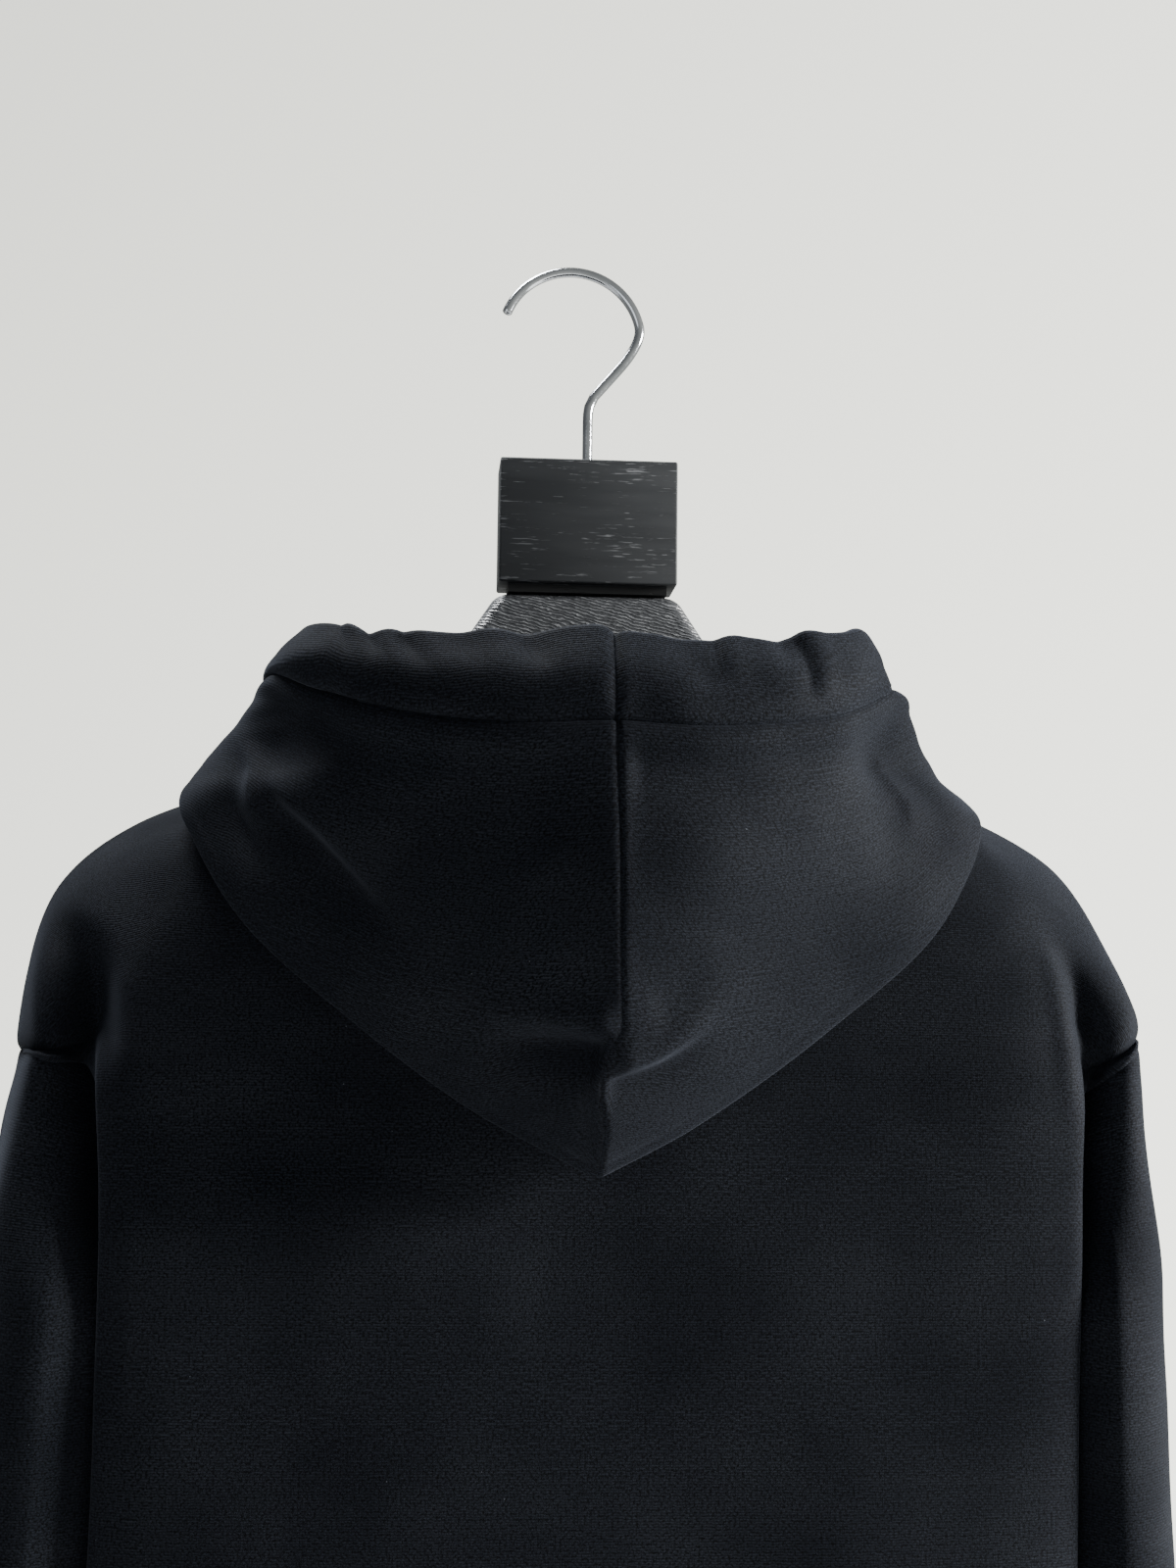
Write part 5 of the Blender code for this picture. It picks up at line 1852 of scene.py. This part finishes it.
@dataclass
class Casing(HoodCloth):
    """The gathered channel along the hood's opening, in two halves."""

    full: float = 6.4 * MM  # thickness of the turned-in cloth
    thin: float = 2.2 * MM  # at the stitching
    full_from: float = 12.0 * MM  # how far from the stitching it is full
    centre_full: float = 0.35  # of its fullness at the centre seam
    centre_from: float = 6.0 * MM
    bulge: float = 3.4 * MM
    right_lean: float = 5.5 * MM  # how far the right end's edge leans in
    lean_from: Pair = (96.0, 24.0)  # x where that starts, and its blend
    edge_gather: float = 1.6  # mm, of the edge before the back
    edge_waves: float = 9.0
    gather: float = 1.3 * MM  # of the face before the back
    gather_pace: float = 12.5 * MM  # run of the cloth in a radian of the gathers
    gather_from: float = 20.0 * MM  # how far from the stitching they are full
    swell: float = 0.4 * MM
    swell_wave: float = 34.0  # mm
    swell_seed: int = 31
    stitch_fade: float = 5.0 * MM  # a fold dies away this near the stitching
    cut: Cut = Cut(0.42, 0.045, 0.0175, Hold.DRAPED)
    stitch_rows: Numbers = (0.955, 0.972, 0.984, 0.992, 1.0)
    left_edge: Line = (  # x from the centre, rise of the edge, mm
        (0, -3.0), (3, -0.4), (14, 0.9), (28, -0.2), (37, 0.2), (47, 2.1), (55, 1.8), (63, 0.8),
        (78, 1.2), (89, 1.0), (95, -1.6), (101, -1.8), (107, -0.2), (112, -1.2), (118, -0.4),
        (126, 1.6),
    )
    right_edge: Line = (
        (0, -4.2), (3, -2.4), (14, -1.4), (30, -2.6), (39, -1.8), (44, -0.8), (50, 1.2),
        (58, 1.1), (66, 0.6), (71, 1.0), (75, 2.4), (81, 4.0), (92, 3.2), (102, 2.6), (115, 3.0),
        (122, 1.0), (126, 0.0),
    )
    left: tuple[Crease, ...] = (
        Crease(((-112, -180), (-109, -194), (-102, -208)), -1.9, 2.8, 3.2, (0.0, 0.6)),
        Crease(((-101, -180), (-98, -196), (-88, -211)), -2.2, 3.0, 3.6, (0.0, 0.6)),
        Crease(((-87, -184), (-82, -200), (-70, -215)), -2.6, 3.6, 5.0, (0.0, 0.6)),
        Crease(((-60, -190), (-57, -204), (-52, -216)), -1.0, 5.0, 6.0, (0.0, 0.6)),
        Crease(((-37, -190), (-31, -204), (-24, -216)), -1.9, 5.0, 6.0, (0.0, 0.6)),
    )
    right: tuple[Crease, ...] = (
        Crease(((41, -190), (43, -204), (44, -214)), -1.2, 3.4, 4.0, (0.0, 0.6)),
        Crease(((66, -190), (72, -200), (75, -212)), -1.3, 3.4, 4.0, (0.0, 0.6)),
        Crease(((73, -188), (79, -199), (83, -211), (80, -223)), -1.4, 3.4, 5.0, (0.0, 0.3)),
        Crease(((80, -188), (87, -199), (88, -211), (84, -222)), 1.5, 6.0, 3.4, (0.0, 0.3)),
        Crease(((28, -212), (48, -214), (70, -210)), -1.8, 7.0, 7.0, (0.3, 0.3)),
    )

    def rows(self) -> Array:
        """Return the share of the casing's height at each row, closest at its edges."""
        top = 1 - np.cos(np.linspace(0, np.pi / 2, 7))
        return np.concatenate([top * 0.085, np.linspace(0.115, 0.93, 22), self.stitch_rows])

    def half(self, side: Side) -> Array:
        """Lay out one half, on the right.

        Args:
            side: Which side it becomes.

        Returns:
            The grid [row, column, xyz].
        """
        arcs = self.hood.arcs()
        lines = self.hood.lines(arcs)
        across, groove = self.hood.across_stitching(lines), lines["groove"]
        opening = lines["opening"].copy()
        x, behind = opening[:, 0] / MM, on_back(opening, *self.hood.back_from)
        rise = read_table(self.left_edge if side is Side.LEFT else self.right_edge, x)
        gathers = self.edge_gather * np.sin(arcs * self.edge_waves * 2 * np.pi) ** 2
        opening[:, 2] += (rise * behind + gathers * (1 - behind)) * MM
        if side is Side.RIGHT:
            start, blend = self.lean_from
            opening[:, 0] -= self.right_lean * ease((x - start) / blend)
        bow = unit(np.cross(np.gradient(groove, axis=0), across)) * self.bulge
        middle = (opening + groove) / 2 - bow
        points = through(np.array([opening, middle, groove]), (0.0, 0.5, 1.0), self.rows())
        self.meet(points, groove, across)
        return points

    def dress(self, points: Array, side: Side) -> Array:
        """Give one half its gathers, and roll it into its seams.

        Args:
            points: The half's grid, on the right.
            side: Which side it becomes.

        Returns:
            The moved grid, still on the right.
        """
        turned = points * [side.value, 1, 1]
        from_top, from_seam = lengths_along(points, 0), lengths_along(points, 1)
        from_stitch = from_top[[-1]] - from_top
        behind = on_back(points, *self.hood.back_from)
        free = ease(from_seam / self.seam_fade) * ease(from_stitch / self.stitch_fade)
        height = folds_at(self.left if side is Side.LEFT else self.right, turned) * behind
        gathers = self.gather * np.sin(from_seam / self.gather_pace) * (1 - behind)
        x, z = turned[..., 0] / MM, turned[..., 2] / MM
        swell = self.swell * soft_waves(x, z, self.swell_seed + side.value, self.swell_wave)
        height = (height + gathers * ease(from_stitch / self.gather_from) + swell) * free
        moved = self.raised(points, height, from_stitch, np.ones(height.shape))
        return self.hood.pitch(moved, side, np.ones(height.shape))

    def fullness(self, points: Array) -> Array:
        """Work out how thick the turned-in cloth is: round at its edge, thin at the stitching.

        Args:
            points: The half's grid.

        Returns:
            The wall's share of its full thickness at each point.
        """
        from_top, from_seam = lengths_along(points, 0), lengths_along(points, 1)
        from_stitch = from_top[[-1]] - from_top
        near_edge = np.clip(1 - from_top / (self.full / 2), 0, 1)
        round_edge = np.sqrt(np.clip(1 - near_edge ** 2, 0.01, 1))
        thin, slack = self.thin / self.full, self.centre_full
        side = slack + (1 - slack) * ease(from_seam / self.centre_from)
        return round_edge * (thin + (1 - thin) * ease(from_stitch / self.full_from) * side)

    def build(self) -> None:
        """Make both halves."""
        for side in Side:
            points = self.dress(self.half(side), side)
            share = self.fullness(points)
            if side is Side.LEFT:
                points, share = to_left(points), share[:, ::-1]
            name = f"hood_casing_{side.name.lower()}"
            grid = ClothGrid(f"{name}_cloth", self.bend_seam(points), fullness=share)
            sew(grid, name, FLEECE, (self.full, 0.0))


# --- Hanger ----------------------------------------------------------------------------------

@dataclass
class Hanger:
    """Neck block, shaped body and wire hook; sizes in mm."""

    shape: BodyShape
    block_across: Pair = (82.5, 30.0)
    block_top: float = -91.0
    block_bottom: float = -149.5
    block_edge: float = 1.0
    foot_inset: float = 4.5
    foot_gap: float = 0.3  # between the foot and the body
    foot_root: float = 2.0  # how far the foot goes up into the block
    body_top: float = -153.8
    body_top_half: float = 41.5
    neck_side: Line = ((74.0, -203.0), (84.0, -220.0), (97.0, -226.5))
    arm_thick: float = 22.0
    arm_edge: float = 6.0
    rim_from: float = 50.0  # degrees between two faces from which their edge is rounded
    sharp: Place = (40.0, 48.0, 60.0)  # degrees from which an edge stays sharp: block, body, wire
    arm_clear: Pair = (0.6, 2.6)  # of its upper side from the shoulder's edge
    arm_levels: Pair = (0.03, 0.13)  # of the body, that its upper side follows
    arm_tip: float = 0.62  # thickness at the tip, against the middle
    thin_from: Pair = (90.0, 110.0)  # x where it starts to thin, and how far it goes on
    tip_steps: Line = (  # round the tip and back, from the upper side's end
        (4, -6), (3, -16), (-6, -22), (-22, -18), (-60, -8))
    lower_side: Line = ((60.0, -240.0), (0.0, -232.0))
    wire: float = 4.7
    hook_centre: Pair = (-8.1, -29.6)
    hook_radius: float = 33.0
    hook_bend: Pair = (20.8, -36.0)
    bend_start: float = 0.66  # share of the lean where the bend starts
    bend_turn: float = 26.0  # degrees of the ring that the bend takes
    bend_count: int = 14
    stem_gap: float = 0.3  # between the block and the wire
    stem_bend: float = -60.5
    stem_top: Line = ((0.0, -9.0), (0.1, -5.0), (0.6, -1.5))  # x, z by the bend
    lean_shares: Numbers = (0.14, 0.3, 0.5)
    hook_tip_angle: float = 158.0
    ring_count: int = 60
    tip_rounding: Line = ((0.0, 1.0), (0.5, 0.85), (0.9, 0.55))  # step, thickness

    def add_box(self, solid: bmesh.types.BMesh, across: Pair, top: float, bottom: float) -> None:
        """Add a box on the block's axis; all in mm.

        Args:
            solid: The bmesh that gets it.
            across: Its width and its thickness.
            top: Its top.
            bottom: Its bottom.
        """
        verts = bmesh.ops.create_cube(solid, size=1.0)["verts"]
        bmesh.ops.scale(solid, vec=Vector((*across, top - bottom)) * MM, verts=verts)
        bmesh.ops.translate(solid, vec=(0, 0, (top + bottom) / 2 * MM), verts=verts)

    def build_block(self) -> None:
        """Make the neck block with its set-in foot."""
        width, thick = self.block_across
        inset = 2 * self.foot_inset
        solid = bmesh.new()
        self.add_box(solid, self.block_across, self.block_top, self.block_bottom)
        bmesh.ops.bevel(solid, geom=list(solid.edges), offset=self.block_edge * MM, segments=3,
                        profile=0.5, affect="EDGES", material=-1)
        self.add_box(solid, (width - inset, thick - inset), self.block_bottom + self.foot_root,
                     self.body_top + self.foot_gap)
        mesh = finish_mesh("neck_block", solid, self.sharp[0])
        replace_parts(add_piece("neck_block", mesh, WoodFinish().material()),
                    "hanger_block")

    def outline(self) -> list[Pair]:
        """Lay out the right half of the body's outline.

        Returns:
            Its points from the top centre to the bottom centre, x and z in mm.
        """
        levels = np.linspace(*self.arm_levels, 9)
        edge = through(self.shape.lines()[:, -1, ::2], self.shape.level_knots, levels) / MM
        upper = [(0.0, self.body_top), (self.body_top_half, self.body_top), *self.neck_side,
                 *map(tuple, edge - self.arm_clear)]
        x, z = upper[-1]
        return [*upper, *((x + out, z + up) for out, up in self.tip_steps), *self.lower_side]

    def thickness(self, x: float) -> float:
        """Return the body's thickness at x, in mm: thinner towards its tips."""
        thinned = ease((abs(x) - self.thin_from[0]) / self.thin_from[1])
        return self.arm_thick * (1 - (1 - self.arm_tip) * float(thinned))

    def build_body(self) -> None:
        """Make the shaped body from one outline with round edges."""
        half = self.outline()
        outline = half + [(-x, z) for x, z in half[-2:0:-1]]
        arms = bmesh.new()
        front = [arms.verts.new(Vector((x, -self.thickness(x) / 2, z)) * MM) for x, z in outline]
        face = arms.faces.new(front)
        grown = bmesh.ops.extrude_face_region(arms, geom=[face])
        for vertex in (item for item in grown["geom"] if isinstance(item, bmesh.types.BMVert)):
            vertex.co.y = -vertex.co.y
        bmesh.ops.recalc_face_normals(arms, faces=arms.faces)
        rim = np.radians(self.rim_from)
        rims = [edge for edge in arms.edges if edge.calc_face_angle(0.0) > rim]
        bmesh.ops.bevel(arms, geom=rims, offset=self.arm_edge * MM, segments=6, profile=0.5,
                        affect="EDGES", material=-1)
        mesh = finish_mesh("hanger_arms", arms, self.sharp[1])
        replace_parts(add_piece("hanger_arms", mesh, WrinkledFinish().material()),
                    "hanger_body")

    def hook_path(self) -> Array:
        """Lay out the middle line of the wire: stem, lean, bend and ring.

        Returns:
            Its points, x and z in mm.
        """
        centre, bend = np.array(self.hook_centre), np.array(self.hook_bend)
        start = np.degrees(np.arctan2(*(bend - centre)[::-1]))
        angles = np.radians(np.linspace(start + self.bend_turn, self.hook_tip_angle,
                                        self.ring_count))
        ring = centre + self.hook_radius * np.stack([np.cos(angles), np.sin(angles)], axis=-1)
        corner = np.array([0.0, self.stem_bend])
        lean = bend - corner
        stem = [(0.0, self.block_top + self.stem_gap),
                *((x, self.stem_bend + z) for x, z in self.stem_top)]
        middle = [corner + lean * share for share in (*self.lean_shares, self.bend_start)]
        down = unit(ring[0] - ring[1])
        steps = np.linalg.solve(np.array([lean, -down]).T, ring[0] - corner)
        turn = np.linspace(0, 1, self.bend_count)[1:-1, None]
        rounded = (middle[-1] * (1 - turn) ** 2 + (corner + lean * steps[0]) * 2 * turn
                   * (1 - turn) + ring[0] * turn ** 2)
        return np.array([*stem, *middle, *rounded, *ring])

    def build_hook(self) -> None:
        """Make the wire hook as a round tube along its path, with rounded ends."""
        path = self.hook_path()
        curve = bpy.data.curves.new("wire_hook", "CURVE")
        curve.dimensions = "3D"
        curve.bevel_depth = self.wire / 2 * MM
        curve.bevel_resolution = 6
        curve.use_fill_caps = True
        line = curve.splines.new("POLY")
        tip = unit(path[-1] - path[-2])
        spots = [(*point, 1.0) for point in path[:-1]]
        spots += [(*(path[-1] + tip * step), share) for step, share in self.tip_rounding]
        line.points.add(len(spots) - 1)
        for spot, (x, z, share) in zip(line.points, spots):
            spot.co, spot.radius = (x * MM, 0.0, z * MM, 1.0), share
        wire = put_in_scene("wire_hook_line", curve)
        depsgraph = bpy.context.evaluated_depsgraph_get()
        mesh = bpy.data.meshes.new_from_object(wire.evaluated_get(depsgraph))
        bpy.data.objects.remove(wire, do_unlink=True)
        mesh.name = "wire_hook"
        mesh.materials.clear()
        mesh.shade_smooth()
        mesh.set_sharp_from_angle(angle=np.radians(self.sharp[2]))
        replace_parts(add_piece("wire_hook", mesh, ChromeFinish().material()),
                    "hanger_hook")

    def build(self) -> None:
        """Make the block, the body and the hook."""
        self.build_block()
        self.build_body()
        self.build_hook()


# --- Studio ----------------------------------------------------------------------------------

@dataclass(frozen=True)
class SoftLight:
    """A square area light; metres and watts."""

    name: str
    place: Place
    aim: Place  # the point that it faces
    size: float
    power: float
    colour: Colour


@dataclass
class Studio:
    """Floor, lights, backdrop and camera."""

    floor_z: float = -0.985
    floor_half: float = 1.5
    camera_place: Place = (-0.0796, -1.0368, -0.365)
    azimuth: float = -4.5  # degrees
    pitch: float = 6.8
    roll: float = 0.6
    lens: float = 52.0
    backdrop: Colour = (0.80, 0.805, 0.735)
    seen: Place = (3.0, 1.8, -1.6)  # brightness: middle, and its rise to +X and up
    ambient: Colour = (0.070, 0.075, 0.088)
    mirrored: float = 0.15  # share of the backdrop that shiny pieces mirror
    lights: tuple[SoftLight, ...] = (
        SoftLight("key", (1.80, -0.38, 0.13), (0.05, 0.0, -0.40), 0.5, 118.0,
                  (1.0, 0.985, 0.96)),
        SoftLight("above", (-0.45, 0.25, 1.05), (-0.10, 0.0, -0.3), 0.6, 56.0,
                  (0.97, 0.985, 1.0)),
        SoftLight("fill", (-1.2, -2.0, -0.2), (0.0, 0.0, -0.5), 1.2, 7.0,
                  (0.92, 0.96, 1.0)),
    )

    def build_floor(self) -> None:
        """Make the plain pale floor."""
        plane = bmesh.new()
        bmesh.ops.create_grid(plane, x_segments=1, y_segments=1, size=self.floor_half)
        bmesh.ops.translate(plane, vec=(0, 0, self.floor_z), verts=plane.verts)
        mesh = bpy.data.meshes.new("floor")
        plane.to_mesh(mesh)
        plane.free()
        mesh.materials.append(FloorFinish().material())
        put_in_scene("floor", mesh)

    def build_lights(self) -> None:
        """Light the garment from the right and from above, with a weak fill from the left."""
        for light in self.lights:
            lamp = bpy.data.lights.new(light.name, "AREA")
            lamp.shape = "SQUARE"
            lamp.size, lamp.energy, lamp.color = light.size, light.power, light.colour
            thing = put_in_scene(light.name, lamp)
            thing.location = light.place
            way = Vector(light.aim) - Vector(light.place)
            thing.rotation_mode = "QUATERNION"
            thing.rotation_quaternion = way.to_track_quat("-Z", "Y")

    def build_world(self) -> None:
        """Make the plain pale backdrop, which lights the garment only weakly."""
        world = bpy.data.worlds.new("studio")
        world.use_nodes = True
        bench = NodeBench(world.node_tree)
        sky, end = (world.node_tree.nodes[name] for name in ("Background", "World Output"))
        bench.fill(sky, {"Color": self.ambient})
        parts = bench.fill(bench.add("SeparateXYZ"),
                           {0: bench.add("TexCoord").outputs["Generated"]})
        middle, aside, up = self.seen
        slope = bench.math("MULTIPLY", parts.outputs["X"], aside)
        rise = bench.math("MULTIPLY", parts.outputs["Z"], up)
        strength = bench.math("ADD", bench.math("ADD", slope, rise), middle)
        shown = bench.fill(bench.add("Background"),
                           {"Color": self.backdrop, "Strength": strength})
        ray = bench.add("LightPath")
        glossy = bench.math("MULTIPLY", ray.outputs["Is Glossy Ray"], self.mirrored)
        share = bench.math("MAXIMUM", ray.outputs["Is Camera Ray"], glossy)
        mix = bench.fill(bench.add("MixShader"),
                         {0: share, 1: sky.outputs[0], 2: shown.outputs[0]})
        bench.join(mix.outputs[0], end.inputs["Surface"])
        bpy.context.scene.world = world

    def build_camera(self) -> None:
        """Set the camera at the photo's angle and framing."""
        azimuth, pitch, roll = np.radians([self.azimuth, self.pitch, self.roll])
        right = np.array([np.cos(azimuth), np.sin(azimuth), 0.0])
        ahead = np.array([-np.sin(azimuth) * np.cos(pitch), np.cos(azimuth) * np.cos(pitch),
                          np.sin(pitch)])
        up = np.cross(right, ahead)
        turned_right = right * np.cos(roll) + up * np.sin(roll)
        turned_up = up * np.cos(roll) - right * np.sin(roll)
        lens = bpy.data.cameras.new("camera")
        lens.lens = self.lens
        camera = put_in_scene("camera", lens)
        turn = Matrix([turned_right, turned_up, -ahead]).transposed()
        camera.matrix_world = Matrix.Translation(self.camera_place) @ turn.to_4x4()
        bpy.context.scene.camera = camera

    def build(self) -> None:
        """Make the floor, the backdrop, the lights and the camera."""
        self.build_floor()
        self.build_world()
        self.build_lights()
        self.build_camera()


def main() -> None:
    """Build the studio, the garment and its hanger."""
    logging.basicConfig(level=logging.INFO, format="%(name)s: %(message)s")
    Studio().build()
    shape = BodyShape()
    panels = Panels(shape)
    panels.build()
    sleeves = Sleeves(shape)
    sleeves.build()
    RibBands(panels, sleeves).build()
    hood = HoodShape(shape)
    HoodPanels(hood).build()
    Casing(hood).build()
    Hanger(shape).build()


if __name__ == "__main__":
    main()
